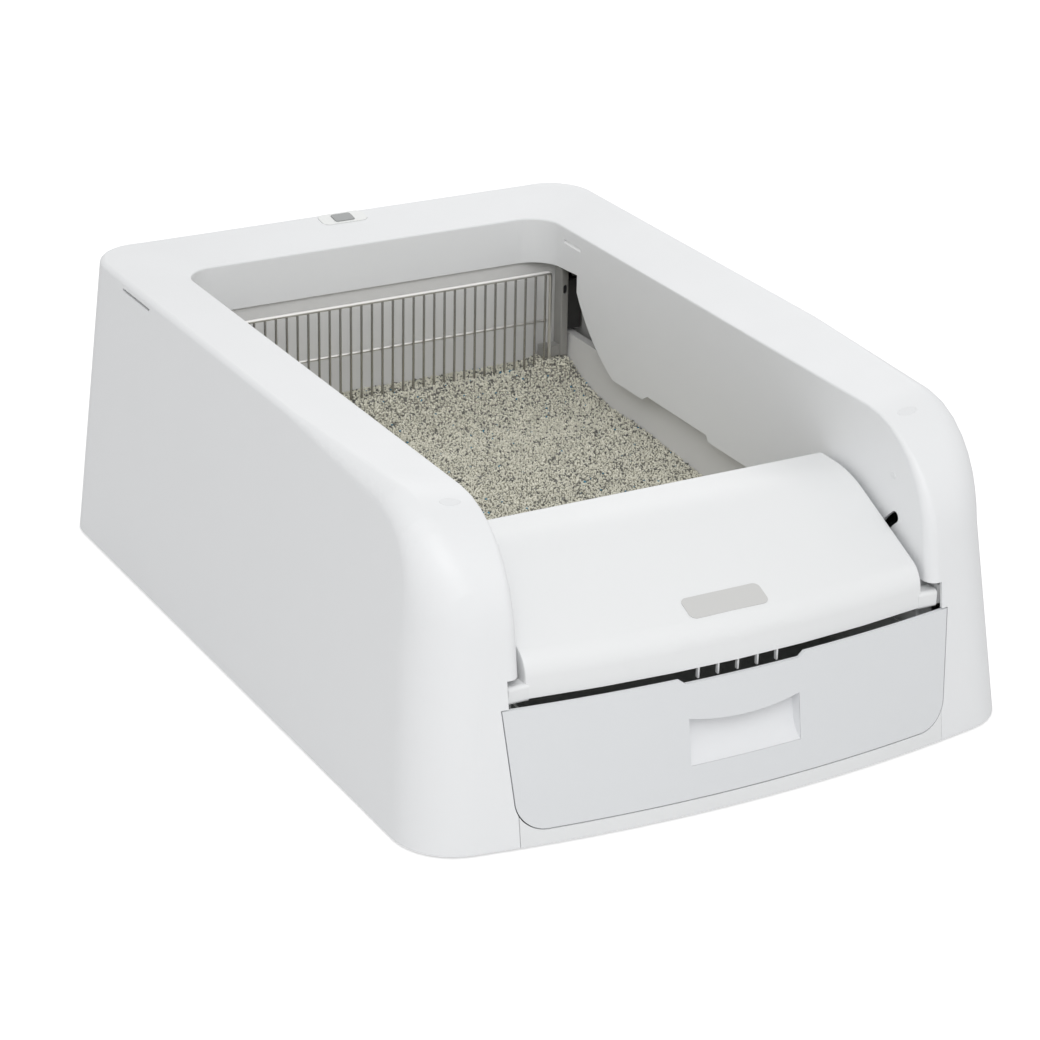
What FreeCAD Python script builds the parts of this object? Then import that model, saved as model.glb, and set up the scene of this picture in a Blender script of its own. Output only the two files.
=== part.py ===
import FreeCAD, Part
import math
import operator
import os

import Sketcher
from FreeCAD import Placement, Rotation, Vector

# Self-cleaning litter box. X runs to the right as seen from the front, the drawer
# faces -Y and Z points up. The origin lies on the floor under the middle of the box.

os.makedirs("parts", exist_ok=True)
doc = FreeCAD.newDocument("litter_box")

# Driving dimensions in millimetres and degrees
SIZES = {
    # housing, outside
    "arm_width": 78.1,
    "side_lean": 21.4,
    "body_length": 660.0,
    "rear_lean": 12.5,
    "front_lean": 8.6,
    "body_height": 230.3,
    "floor_gap": 2.0,
    "front_bow": 1120.0,
    "rear_corner": 40.0,
    "front_corner": 45.0,
    "rim_rounding": 4.0,
    "shoulder_rounding": 16.0,
    "shell_wall": 2.6,
    # housing, opening and arms
    "opening_width": 323.8,
    "rear_shelf": 71.4,
    "opening_corner": 25.0,
    "rim_drop": 8.9,
    "arm_round": 85.0,
    "arm_sweep": 9.4,
    "arm_blend": 152.0,
    "inner_rounding": 1.5,
    "arm_inner_rounding": 8.0,
    # housing, lower edge of the inner wall
    "wall_foot": 116.7,
    "wall_notch_rise": 4.9,
    "wall_notch_length": 89.0,
    "wall_notch_inset": 172.6,
    "wall_cut_length": 62.0,
    "wall_cut_inset": 56.6,
    "wall_cut_top": 187.0,
    "wall_cut_knee": 172.0,
    "wall_cut_round": 147.0,
    "skirt_foot": 183.0,
    "wall_end_inset": 158.0,
    "wall_front_inset": 18.0,
    # housing, slots for a clip-on hood
    "hood_slot_length": 28.0,
    "hood_slot_height": 3.6,
    "hood_slot_inset": 47.8,
    "hood_slot_drop": 20.9,
    "side_slot_length": 53.0,
    "side_slot_height": 2.2,
    "side_slot_drop": 7.7,
    # housing, screw bosses
    "boss_radius": 7.0,
    "boss_height": 20.0,
    "boss_inset": 10.0,
    "boss_step": 140.0,
    # base
    "plate_level": 4.0,
    "plate_thickness": 3.0,
    "plate_gap": 0.8,
    "plate_front_inset": 24.0,
    "rib_height": 7.0,
    "rib_width": 3.0,
    "guide_wall_height": 52.0,
    "guide_wall_gap": 1.5,
    "partition_height": 170.0,
    "sill_lap": 7.7,
    "sill_top": 36.0,
    "sill_depth": 9.0,
    "sill_bump": 3.0,
    "sill_bump_level": 10.6,
    "rail_top": 12.0,
    # feet and screws
    "foot_radius": 11.0,
    "foot_inset": 48.0,
    "screw_radius": 2.0,
    "screw_head_radius": 4.0,
    "screw_head_height": 2.4,
    "screw_length": 14.0,
    # litter tray
    "tray_lap": 15.1,
    "tray_draft": 8.0,
    "tray_wall": 2.2,
    "tray_tuck": 4.4,
    "tray_rim": 124.0,
    "tray_back": 195.0,
    "tray_corner": 12.0,
    "flange_reach": 5.0,
    "ramp_length": 71.0,
    "ramp_top_inset": 164.0,
    "ramp_level": 100.0,
    # litter
    "litter_gap": 0.4,
    "litter_rear_level": 100.0,
    "litter_middle_level": 87.0,
    "litter_front_level": 80.0,
    "litter_slot": 4.6,
    "litter_bend": 110.0,
    # rake
    "rake_rest_gap": 26.1,
    "rake_side_gap": 7.5,
    "tine_count": 33.0,
    "tine_margin": 4.64,
    "tine_radius": 1.1,
    "tine_foot": 26.0,
    "top_wire_radius": 1.6,
    "top_wire_level": 181.0,
    "middle_wire_level": 139.0,
    "rake_travel": 310.0,
    "crank_gap": 1.0,
    "crank_width": 6.5,
    "crank_depth": 12.0,
    "crank_foot": 106.0,
    "crank_foot_height": 9.0,
    "crank_top": 182.0,
    "crank_slot_level": 164.0,
    "crank_edge": 1.0,
    # rake drive
    "rail_radius": 4.0,
    "rail_offset": 35.1,
    "rail_level": 178.0,
    "bush_wall": 1.5,
    "bush_length": 8.0,
    "carriage_length": 36.0,
    "carriage_half": 10.0,
    "carriage_edge": 2.0,
    "clamp_length": 20.0,
    "clamp_jaw": 5.0,
    "run_gap": 0.08,
    "shaft_radius": 3.0,
    "shaft_offset": 25.4,
    "shaft_level": 148.0,
    "belt_pitch": 3.0,
    "belt_width": 6.0,
    "belt_thickness": 1.4,
    "belt_offset": 16.0,
    "pulley_teeth": 20.0,
    "pulley_flange": 1.2,
    "pulley_face": 7.0,
    "idler_inset": 202.0,
    "belt_gap": 0.35,
    "bracket_overhang": 6.0,
    "bracket_seat": 26.0,
    "bracket_top": 189.0,
    "post_half": 9.0,
    "post_web": 10.0,
    "hub_radius": 9.0,
    "gear_module": 1.0,
    "gear_teeth": 24.0,
    "pinion_teeth": 12.0,
    "pinion_shaft": 2.0,
    "gear_width": 8.0,
    "gear_place": 44.0,
    "gearbox_radius": 17.0,
    "gearbox_length": 24.0,
    "gearbox_offset": 8.0,
    "mount_plate": 3.0,
    "motor_radius": 14.0,
    "motor_length": 42.0,
    # waste lid
    "lid_side_gap": 4.4,
    "lid_rear_inset": 165.5,
    "lid_top": 169.2,
    "lid_crest_inset": 127.7,
    "lid_shoulder": 126.0,
    "lid_front_inset": 32.5,
    "lid_foot": 100.4,
    "lid_front_lean": 4.0,
    "lid_bow": 11.6,
    "lid_wall": 2.4,
    "lid_skirt_rear": 150.0,
    "lid_knee_inset": 50.0,
    "lid_rear_rounding": 3.0,
    "lid_side_rounding": 2.0,
    "lid_crest_rounding": 90.0,
    "lid_lip_rounding": 20.0,
    "hinge_inset": 39.0,
    "hinge_level": 104.5,
    "hinge_pin_radius": 2.5,
    "hinge_tab_width": 13.0,
    "hinge_notch_depth": 15.0,
    "lid_travel": 24.0,
    "stop_pin_reach": 60.0,
    "stop_pin_angle": 27.0,
    "stop_pin_radius": 3.0,
    "stop_slot_gap": 1.25,
    "ear_rounding": 3.0,
    "hinge_pin_reach": 8.0,
    "saddle_wall": 5.0,
    "saddle_width": 6.0,
    "lid_rib_pitch": 15.6,
    "comb_half": 0.6,
    "comb_drop": 8.0,
    # blank plate on the lid
    "plate_blank_width": 62.0,
    "plate_blank_height": 19.0,
    "plate_blank_thickness": 1.0,
    "plate_blank_proud": 0.4,
    "plate_blank_inset": 42.0,
    # waste drawer
    "drawer_lap": 15.1,
    "drawer_taper": 7.0,
    "drawer_foot": 12.8,
    "drawer_top": 97.3,
    "drawer_corner": 22.0,
    "drawer_gap": 0.9,
    "drawer_skin": 3.0,
    "drawer_rim": 14.0,
    "drawer_wall": 2.4,
    "rim_height": 86.0,
    "drawer_travel": 120.0,
    "scoop_half": 45.0,
    "scoop_depth": 3.4,
    "handle_half": 44.0,
    "handle_foot": 36.0,
    "handle_top": 69.5,
    "handle_sag": 5.0,
    "handle_depth": 13.5,
    "cup_head": 1.5,
    "cup_rise": 24.0,
    "cup_round": 60.0,
    "bin_side_gap": 8.9,
    "bin_rear_inset": 149.0,
    "bin_wall": 1.8,
    "bin_top": 84.0,
    "bin_corner": 10.0,
    # controls
    "bezel_inset": 24.5,
    "bezel_width": 40.0,
    "bezel_depth": 18.0,
    "bezel_thickness": 1.6,
    "button_width": 17.0,
    "button_depth": 12.0,
    "button_corner": 2.0,
    "button_height": 3.6,
    "button_proud": 1.0,
    "button_travel": 1.2,
    "stem_length": 16.0,
    "switch_offset": 3.0,
    "board_width": 70.0,
    "board_depth": 40.0,
    "board_drop": 34.3,
    "board_thickness": 1.6,
    # power inlet
    "inlet_inset": 90.0,
    "inlet_level": 32.0,
    "inlet_radius": 6.0,
    "inlet_depth": 12.0,
    "inlet_bore": 3.2,
}

# Widths, places and levels that follow from them
PLACES = {
    "body_width": "=opening_width + 2 * arm_width",
    "top_width": "=body_width - 2 * side_lean",
    "opening_rear": "=body_length / 2 - rear_shelf",
    "wall_notch_rear": "=opening_rear - wall_notch_inset",
    "wall_notch_front": "=wall_notch_rear - wall_notch_length",
    "wall_cut_rear": "=opening_rear - wall_cut_inset",
    "wall_cut_front": "=wall_cut_rear - wall_cut_length",
    "wall_end": "=wall_end_inset - body_length / 2",
    "wall_front": "=wall_front_inset - body_length / 2",
    "hood_slot_place": "=opening_rear - hood_slot_inset",
    "hood_slot_level": "=body_height - hood_slot_drop",
    "side_slot_level": "=body_height - side_slot_drop",
    "plate_front": "=plate_front_inset - body_length / 2",
    "sill_half": "=opening_width / 2 + sill_lap",
    "tray_half": "=opening_width / 2 + tray_lap",
    "tray_floor_half": "=tray_half - tray_draft",
    "tray_rear": "=opening_rear + tray_tuck",
    "tray_back_start": "=tray_rear - tray_corner",
    "ramp_top": "=ramp_top_inset - body_length / 2",
    "ramp_foot": "=ramp_top + ramp_length",
    "rake_place": "=opening_rear - rake_rest_gap",
    "rake_half": "=opening_width / 2 - rake_side_gap",
    "tine_pitch": "=2 * (rake_half - tine_margin) / (tine_count - 1)",
    "rail_place": "=opening_width / 2 + rail_offset",
    "belt_place": "=rail_place + belt_offset",
    "shaft_place": "=opening_rear + shaft_offset",
    "idler_place": "=idler_inset - body_length / 2",
    "bracket_front": "=idler_place - bracket_overhang",
    "lid_half": "=opening_width / 2 - lid_side_gap",
    "lid_rear": "=lid_rear_inset - body_length / 2",
    "lid_crest": "=lid_crest_inset - body_length / 2",
    "lid_front": "=lid_front_inset - body_length / 2",
    "lid_knee": "=lid_knee_inset - body_length / 2",
    "hinge_place": "=hinge_inset - body_length / 2",
    "plate_blank_place": "=plate_blank_inset - body_length / 2",
    "drawer_top_half": "=opening_width / 2 + drawer_lap",
    "drawer_foot_half": "=drawer_top_half - drawer_taper",
    "bin_half": "=opening_width / 2 - bin_side_gap",
    "bin_rear": "=bin_rear_inset - body_length / 2",
    "bezel_place": "=body_length / 2 - bezel_inset",
    "switch_place": "=bezel_place + switch_offset",
    "board_level": "=body_height - board_drop",
    "inlet_place": "=body_width / 2 - inlet_inset",
}


class Dim:
    """A size that carries its value and the expression that binds it to the sheet."""

    def __init__(self, value, text):
        self.value = value
        self.text = text

    def __add__(self, other):
        return combine(self, "+", other)

    def __radd__(self, other):
        return combine(other, "+", self)

    def __sub__(self, other):
        return combine(self, "-", other)

    def __rsub__(self, other):
        return combine(other, "-", self)

    def __mul__(self, other):
        return combine(self, "*", other)

    def __rmul__(self, other):
        return combine(other, "*", self)

    def __truediv__(self, other):
        return combine(self, "/", other)

    def __rtruediv__(self, other):
        return combine(other, "/", self)

    def __neg__(self):
        return combine(0, "-", self)


OPERATORS = {
    "+": operator.add,
    "-": operator.sub,
    "*": operator.mul,
    "/": operator.truediv,
}


def dim(item):
    """Plain numbers become sizes without a sheet cell."""
    if isinstance(item, Dim):
        return item
    return Dim(float(item), repr(float(item)))


def combine(left, sign, right):
    left = dim(left)
    right = dim(right)
    value = OPERATORS[sign](left.value, right.value)
    return Dim(value, f"({left.text} {sign} {right.text})")


def root(item):
    return Dim(math.sqrt(item.value), f"sqrt({item.text})")


def sine(angle):
    return Dim(math.sin(math.radians(angle.value)), f"sin({angle.text})")


def cosine(angle):
    return Dim(math.cos(math.radians(angle.value)), f"cos({angle.text})")


def tangent(angle):
    return Dim(math.tan(math.radians(angle.value)), f"tan({angle.text})")


class Sheet:
    """The spreadsheet, with one attribute per driving dimension."""

    def __init__(self, sizes):
        self.table = doc.addObject("Spreadsheet::Sheet", "Sizes")
        for row, (name, value) in enumerate(sizes.items(), start=1):
            self.table.set(f"A{row}", name)
            self.table.set(f"B{row}", str(value))
            self.table.setAlias(f"B{row}", name)
        doc.recompute()
        for name in sizes:
            setattr(self, name, Dim(float(self.table.get(name)), f"Sizes.{name}"))


s = Sheet(SIZES | PLACES)
half_width = s.body_width / 2
opening_half = s.opening_width / 2
rear_end = s.body_length / 2
front_end = -s.body_length / 2
plate_top = s.plate_level + s.plate_thickness


# Document helpers

def bind(item, path, size):
    """Bind one property to the sheet, or set it where it is a plain number."""
    if isinstance(size, Dim):
        item.setExpression(path, size.text)
    else:
        setattr(item, path, size)


def place(item, where):
    for axis, size in zip("xyz", where):
        item.setExpression(f"Placement.Base.{axis}", dim(size).text)
    return item


def label(item, name):
    item.Label = name
    return item


def box(name, x, y, z):
    """Box between two bounds on each axis."""
    item = doc.addObject("Part::Box", name)
    for side, (low, high) in zip(("Length", "Width", "Height"), (x, y, z)):
        item.setExpression(side, (dim(high) - low).text)
    return place(item, (x[0], y[0], z[0]))


TURNS = {
    "x": Rotation(Vector(0, 1, 0), 90),
    "y": Rotation(Vector(1, 0, 0), -90),
    "z": Rotation(),
}


def rod(name, axis, where, radius, length):
    """Round bar that starts at a point and runs along +X, +Y or +Z."""
    item = doc.addObject("Part::Cylinder", name)
    item.setExpression("Radius", dim(radius).text)
    item.setExpression("Height", dim(length).text)
    item.Placement = Placement(Vector(), TURNS[axis])
    return place(item, where)


def fuse(name, parts):
    item = doc.addObject("Part::MultiFuse", name)
    item.Shapes = parts
    item.Refine = True
    return item


def cut(name, base, tools):
    """The base without its tools."""
    item = doc.addObject("Part::Cut", name)
    item.Base = base
    item.Tool = tools[0] if len(tools) == 1 else fuse(f"{name}_tools", tools)
    item.Refine = True
    return item


def common(name, first, second):
    item = doc.addObject("Part::Common", name)
    item.Base = first
    item.Tool = second
    item.Refine = True
    return item


def group(name, parts):
    item = doc.addObject("Part::Compound", name)
    item.Links = parts
    return item


def mirror(name, source):
    """The same piece on the other side of the middle plane."""
    item = doc.addObject("Part::Mirroring", name)
    item.Source = source
    item.Normal = Vector(1, 0, 0)
    return item


def edges_where(shape, test):
    """Numbers of the edges whose two ends pass a test."""
    found = []
    for number, edge in enumerate(shape.Edges, start=1):
        ends = [vertex.Point for vertex in edge.Vertexes]
        if len(ends) == 2 and test(*ends):
            found.append(number)
    return found


def rounded(name, base, radius, test):
    """Fillet on the edges of an object that pass a test."""
    doc.recompute()
    item = doc.addObject("Part::Fillet", name)
    item.Base = base
    item.Edges = [(number, radius.value, radius.value) for number in edges_where(base.Shape, test)]
    return item


# Sketch helpers

def arc_centre(start, end, radius, side):
    """Centre of the short arc from start to end, to the left (1) or right (-1)."""
    chord = end - start
    height = math.sqrt(max(radius * radius - chord.Length * chord.Length / 4, 0.0))
    left = Vector(-chord.y, chord.x, 0).normalize()
    return (start + end) / 2 + left * (side * height)


def draw(sketch, points, arcs=None, closed=True):
    """Outline of lines through points, with arcs {edge: (radius, side)}."""
    arcs = arcs or {}
    spots = [Vector(dim(x).value, dim(y).value, 0) for x, y in points]
    lines = []
    last = len(spots) - (0 if closed else 1)
    for number, start in enumerate(spots[:last]):
        end = spots[(number + 1) % len(spots)]
        if number not in arcs:
            lines.append((sketch.addGeometry(Part.LineSegment(start, end), False), 1, 2))
            continue
        radius, side = arcs[number]
        centre = arc_centre(start, end, dim(radius).value, side)
        first, last = (start, end) if side > 0 else (end, start)
        angles = [math.atan2(spot.y - centre.y, spot.x - centre.x) for spot in (first, last)]
        circle = Part.Circle(centre, Vector(0, 0, 1), dim(radius).value)
        arc = sketch.addGeometry(Part.ArcOfCircle(circle, *angles), False)
        lines.append((arc, 1, 2) if side > 0 else (arc, 2, 1))
    for number, (piece, start, end) in enumerate(lines):
        if closed or number + 1 < len(lines):
            following, after, _ = lines[(number + 1) % len(lines)]
            sketch.addConstraint(Sketcher.Constraint("Coincident", piece, end, following, after))
        for kind, size in zip(("DistanceX", "DistanceY"), points[number]):
            row = sketch.addConstraint(
                Sketcher.Constraint(kind, -1, 1, piece, start, dim(size).value)
            )
            sketch.setExpression(f"Constraints[{row}]", dim(size).text)
        if number in arcs:
            radius = dim(arcs[number][0])
            row = sketch.addConstraint(Sketcher.Constraint("Radius", piece, radius.value))
            sketch.setExpression(f"Constraints[{row}]", radius.text)
    return sketch


PLANES = {
    "XY": Rotation(),
    "XZ": Rotation(Vector(1, 0, 0), 90),
    "YZ": Rotation(Vector(1, 1, 1), 120),
}
NORMALS = {"XY": ("z", 1), "XZ": ("y", -1), "YZ": ("x", 1)}


def flat_sketch(name, plane, level, points, arcs=None):
    """Free sketch on a plane at a level along the plane's axis."""
    sketch = doc.addObject("Sketcher::SketchObject", name)
    sketch.Placement = Placement(Vector(), PLANES[plane])
    axis, _ = NORMALS[plane]
    sketch.setExpression(f"Placement.Base.{axis}", dim(level).text)
    return draw(sketch, points, arcs)


def prism(name, plane, bounds, points, arcs=None):
    """Outline extruded between two levels of its plane's axis."""
    low, high = bounds
    axis, sign = NORMALS[plane]
    start = low if sign > 0 else high
    item = doc.addObject("Part::Extrusion", name)
    item.Base = flat_sketch(f"{name}_outline", plane, start, points, arcs)
    item.DirMode = "Normal"
    item.Solid = True
    item.setExpression("LengthFwd", (dim(high) - low).text)
    return item


def loft(name, sections):
    item = doc.addObject("Part::Loft", name)
    item.Sections = sections
    item.Solid = True
    item.Ruled = True
    return item


def rectangle(x, y):
    """Corner points of a rectangle, counter-clockwise from its low corner."""
    return [(x[0], y[0]), (x[1], y[0]), (x[1], y[1]), (x[0], y[1])]


# Body helpers

def octagon(radius, x=0.0, y=0.0):
    """Corners of an eight-sided section around a spot, which stands in for a circle."""
    corners = []
    for step in range(8):
        turn = math.radians(45 * step)
        corners.append((x + radius * math.cos(turn), y + radius * math.sin(turn)))
    return corners


def body(name):
    return label(doc.addObject("PartDesign::Body", name), name)


def body_sketch(owner, plane, level, points, arcs=None):
    """Sketch on an origin plane of its body, moved along the plane's normal."""
    sketch = owner.newObject("Sketcher::SketchObject", f"{owner.Name}_sketch")
    role = f"{plane}_Plane"
    support = [item for item in owner.Origin.OriginFeatures if item.Role == role][0]
    sketch.AttachmentSupport = (support, "")
    sketch.MapMode = "FlatFace"
    _, sign = NORMALS[plane]
    sketch.setExpression("AttachmentOffset.Base.z", (dim(level) * sign).text)
    return draw(sketch, points, arcs)


def ring_sketch(owner, plane, level, centre, radius):
    """Circle on an origin plane of its body."""
    sketch = body_sketch(owner, plane, level, [])
    middle = Vector(dim(centre[0]).value, dim(centre[1]).value, 0)
    sketch.addGeometry(Part.Circle(middle, Vector(0, 0, 1), dim(radius).value), False)
    for kind, size in zip(("DistanceX", "DistanceY"), centre):
        row = sketch.addConstraint(Sketcher.Constraint(kind, -1, 1, 0, 3, dim(size).value))
        sketch.setExpression(f"Constraints[{row}]", dim(size).text)
    row = sketch.addConstraint(Sketcher.Constraint("Radius", 0, dim(radius).value))
    sketch.setExpression(f"Constraints[{row}]", dim(radius).text)
    return sketch


def pad(owner, sketch, length):
    """Pad along the sketch's normal."""
    item = owner.newObject("PartDesign::Pad", f"{owner.Name}_pad")
    item.Profile = sketch
    item.setExpression("Length", dim(length).text)
    return item


def pocket(owner, sketch, length):
    """Pocket along the sketch's normal, checked by the volume it takes."""
    doc.recompute()
    before = owner.Shape.Volume
    item = owner.newObject("PartDesign::Pocket", f"{owner.Name}_pocket")
    item.Profile = sketch
    item.Reversed = True
    item.setExpression("Length", dim(length).text)
    doc.recompute()
    if owner.Shape.Volume >= before:
        raise RuntimeError(f"a pocket of {owner.Name} takes nothing away")
    return item


def fillet(owner, radius, test):
    """Fillet on the edges of a body's tip that pass a test."""
    doc.recompute()
    item = owner.newObject("PartDesign::Fillet", f"{owner.Name}_fillet")
    tip = owner.Tip
    names = [f"Edge{number}" for number in edges_where(tip.Shape, test)]
    item.Base = (tip, names)
    item.setExpression("Radius", dim(radius).text)
    return item


def turned(name, plane, points, axis, arcs=None):
    """Body turned from a half profile about an axis of its sketch."""
    owner = body(name)
    sketch = body_sketch(owner, plane, 0, points, arcs)
    item = owner.newObject("PartDesign::Revolution", f"{name}_revolution")
    item.Profile = sketch
    item.ReferenceAxis = (sketch, [axis])
    item.Angle = 360
    return owner


def upright(start, end):
    """An edge that stands on end."""
    return abs(start.x - end.x) < 15 and abs(start.y - end.y) < 15 and abs(start.z - end.z) > 5


# Front surface shared by the arms, the drawer and the sill

def front_middle(level):
    """Y of the leaning front in the middle plane at a height."""
    return front_end + (dim(level) - s.floor_gap) * tangent(s.front_lean)


def bow_edge(level, across, inset=0):
    """Y of the bowed front at a distance across, moved back by an inset."""
    sag = s.front_bow - root(s.front_bow * s.front_bow - dim(across) * across)
    return front_middle(level) + sag + inset


def bow_section(name, level, across, inset, depth):
    """Horizontal section of a slab that follows the bowed front."""
    front = bow_edge(level, across, inset)
    back = bow_edge(level, across, inset + dim(depth))
    points = [(-dim(across), front), (across, front), (across, back), (-dim(across), back)]
    return flat_sketch(name, "XY", level, points, {0: (s.front_bow, 1), 2: (s.front_bow, -1)})


def front_slab(name, levels, across, inset, depth):
    """Leaning and bowed slab between two heights."""
    sections = [
        bow_section(f"{name}_{number}", level, across, inset, depth)
        for number, level in enumerate(levels)
    ]
    return loft(name, sections)


def drawer_outline(name, grow, bounds):
    """Front view of the drawer, grown all round, as a prism along Y."""
    slope = (s.drawer_top_half - s.drawer_foot_half) / (s.drawer_top - s.drawer_foot)
    low = s.drawer_foot - grow
    high = s.drawer_top + grow
    wide = s.drawer_top_half + grow
    corner = s.drawer_corner + grow
    knee = wide - slope * (high - low - corner)
    floor = knee - corner
    points = [
        (-floor, low), (floor, low), (knee, low + corner),
        (wide, high), (-wide, high), (-knee, low + corner),
    ]
    return prism(name, "XZ", bounds, points, {1: (corner, 1), 5: (corner, 1)})


# Housing: a moulded shell, open below, whose arms turn down to the floor in front.
# Its outer skin and its hollow are the same form at two insets. Along an arm the
# rounding of the outer edge grows from the rim to the front corner, so each arm is
# lofted through sections that fan out around the axis of its front bend.

FAN_STEPS = 8
AXIS_GAP = 5.0
STRIPS = 4

side_draft = (s.body_width - s.top_width) / 2 / (s.body_height - s.floor_gap)
rear_draft = s.rear_lean / (s.body_height - s.floor_gap)
rim_slope = s.rim_drop / (s.top_width / 2 - opening_half)
bend_level = s.body_height - s.rim_drop - s.arm_round
bend_end = bend_level + s.arm_round * sine(s.front_lean)
bend_place = (
    bow_edge(s.floor_gap, opening_half)
    + (bend_end - s.floor_gap) * tangent(s.front_lean)
    + s.arm_round * cosine(s.front_lean)
)
arm_rear = bend_place + s.arm_blend


def half_width_at(level):
    return half_width - side_draft * (dim(level) - s.floor_gap)


def rear_at(level):
    return rear_end - rear_draft * (dim(level) - s.floor_gap)


def mid_arc(start, end, centre, radius):
    """Arc from start to end about a centre, as an edge."""
    middle = (start + end) / 2 - centre
    return Part.Arc(start, centre + middle.normalize() * radius, end).toShape()


def rounding(start, end, centre, radius, plain):
    """Arc from start to end, or its plain form in straight strips, as edges."""
    if not plain:
        return [mid_arc(start, end, centre, radius)]
    spots = [start]
    for step in range(1, STRIPS):
        spot = start + (end - start) * (step / STRIPS) - centre
        spots.append(centre + spot.normalize() * radius)
    spots.append(end)
    return [Part.makeLine(first, second) for first, second in zip(spots, spots[1:])]


def arm_section(inset, angle, origin, reach, outer, inner):
    """Closed section of the right arm in a plane turned about X, as a wire.

    The section's own Y axis points up at angle 0 and to the front at angle 90.
    """
    turn = math.radians(angle)
    lift = rim_slope.value * math.cos(turn) - tangent(s.arm_sweep).value * math.sin(turn)
    draft = side_draft.value * math.cos(turn)
    inside = opening_half.value + inset
    side = half_width_at(origin.z).value - inset
    top = reach - inset + lift * inset
    outer = max(outer - inset, 0.6)
    inner = max(inner - inset, 0.4)
    top_length = math.hypot(1, lift)
    side_length = math.hypot(1, draft)
    across = (
        side - outer * side_length - draft * (top - outer * top_length - lift * inside)
    ) / (1 + draft * lift)
    corner = Vector(across, top - outer * top_length + lift * (across - inside), 0)
    side_spot = corner + Vector(1, draft, 0) * (outer / side_length)
    top_spot = corner + Vector(-lift, 1, 0) * (outer / top_length)
    edge = Vector(inside + inner, top + lift * inner - inner * top_length, 0)
    edge_spot = edge + Vector(-lift, 1, 0) * (inner / top_length)
    foot_in = Vector(inside, AXIS_GAP, 0)
    foot_out = Vector(side - draft * AXIS_GAP, AXIS_GAP, 0)
    edge_foot = Vector(inside, edge.y, 0)
    wire = Part.Wire([
        Part.makeLine(foot_in, foot_out),
        Part.makeLine(foot_out, side_spot),
        *rounding(side_spot, top_spot, corner, outer, inset > 0),
        Part.makeLine(top_spot, edge_spot),
        Part.makeLine(edge_spot, edge_foot) if inset > 0 else mid_arc(
            edge_spot, edge_foot, edge, inner
        ),
        Part.makeLine(edge_foot, foot_in),
    ])
    wire.Placement = Placement(origin, Rotation(Vector(1, 0, 0), 90 + angle))
    return wire


def ease(low, high, share):
    """Smooth step between two values."""
    return low + (high - low) * share * share * (3 - 2 * share)


def arm_form(inset, floor):
    """Right arm, from the floor over the bend to its rear end."""
    axis = Vector(0, bend_place.value, bend_level.value)
    reach = s.arm_round.value
    last = 90 - s.front_lean.value
    turns = [last * step / FAN_STEPS for step in range(FAN_STEPS, -1, -1)]
    fans = []
    for turn in turns:
        outer = ease(s.shoulder_rounding.value, s.front_corner.value, turn / last)
        inner = ease(s.inner_rounding.value, s.arm_inner_rounding.value, turn / last)
        fans.append(arm_section(inset, turn, axis, reach, outer, inner))
    front = bow_edge(floor, opening_half).value + inset / cosine(s.front_lean).value
    foot = arm_section(
        inset, 90, Vector(0, axis.y, floor), axis.y - front + inset,
        s.front_corner.value, s.arm_inner_rounding.value,
    )
    rear = arm_section(
        inset, 0, Vector(0, arm_rear.value, axis.z), reach,
        s.rim_rounding.value, s.inner_rounding.value,
    )
    inside = opening_half.value + inset
    crown = axis.z + AXIS_GAP
    core_section = Part.makePolygon([
        Vector(inside, axis.y - AXIS_GAP, floor),
        Vector(half_width_at(floor).value - inset, axis.y - AXIS_GAP, floor),
        Vector(half_width_at(crown).value - inset, axis.y - AXIS_GAP, crown),
        Vector(inside, axis.y - AXIS_GAP, crown),
        Vector(inside, axis.y - AXIS_GAP, floor),
    ])
    core = Part.Face(core_section).extrude(Vector(0, arm_rear.value - axis.y + AXIS_GAP, 0))
    lower = Part.makeLoft([foot, fans[0]], True, True)
    bend = Part.makeLoft(fans, True, True)
    upper = Part.makeLoft([fans[-1], rear], True, True)
    return core.multiFuse([lower, bend, upper])


def arch(half, rear, radius, front, level):
    """Wire of a rectangle across X whose two rear corners are round."""
    corner = Vector(half - radius, rear - radius, level)
    other = Vector(-corner.x, corner.y, level)
    spots = [
        Vector(half, front, level), Vector(half, corner.y, level),
        Vector(corner.x, rear, level), Vector(-corner.x, rear, level),
        Vector(-half, corner.y, level), Vector(-half, front, level),
    ]
    return Part.Wire([
        Part.makeLine(spots[0], spots[1]),
        mid_arc(spots[1], spots[2], corner, radius),
        Part.makeLine(spots[2], spots[3]),
        mid_arc(spots[3], spots[4], other, radius),
        Part.makeLine(spots[4], spots[5]),
        Part.makeLine(spots[5], spots[0]),
    ])


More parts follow.
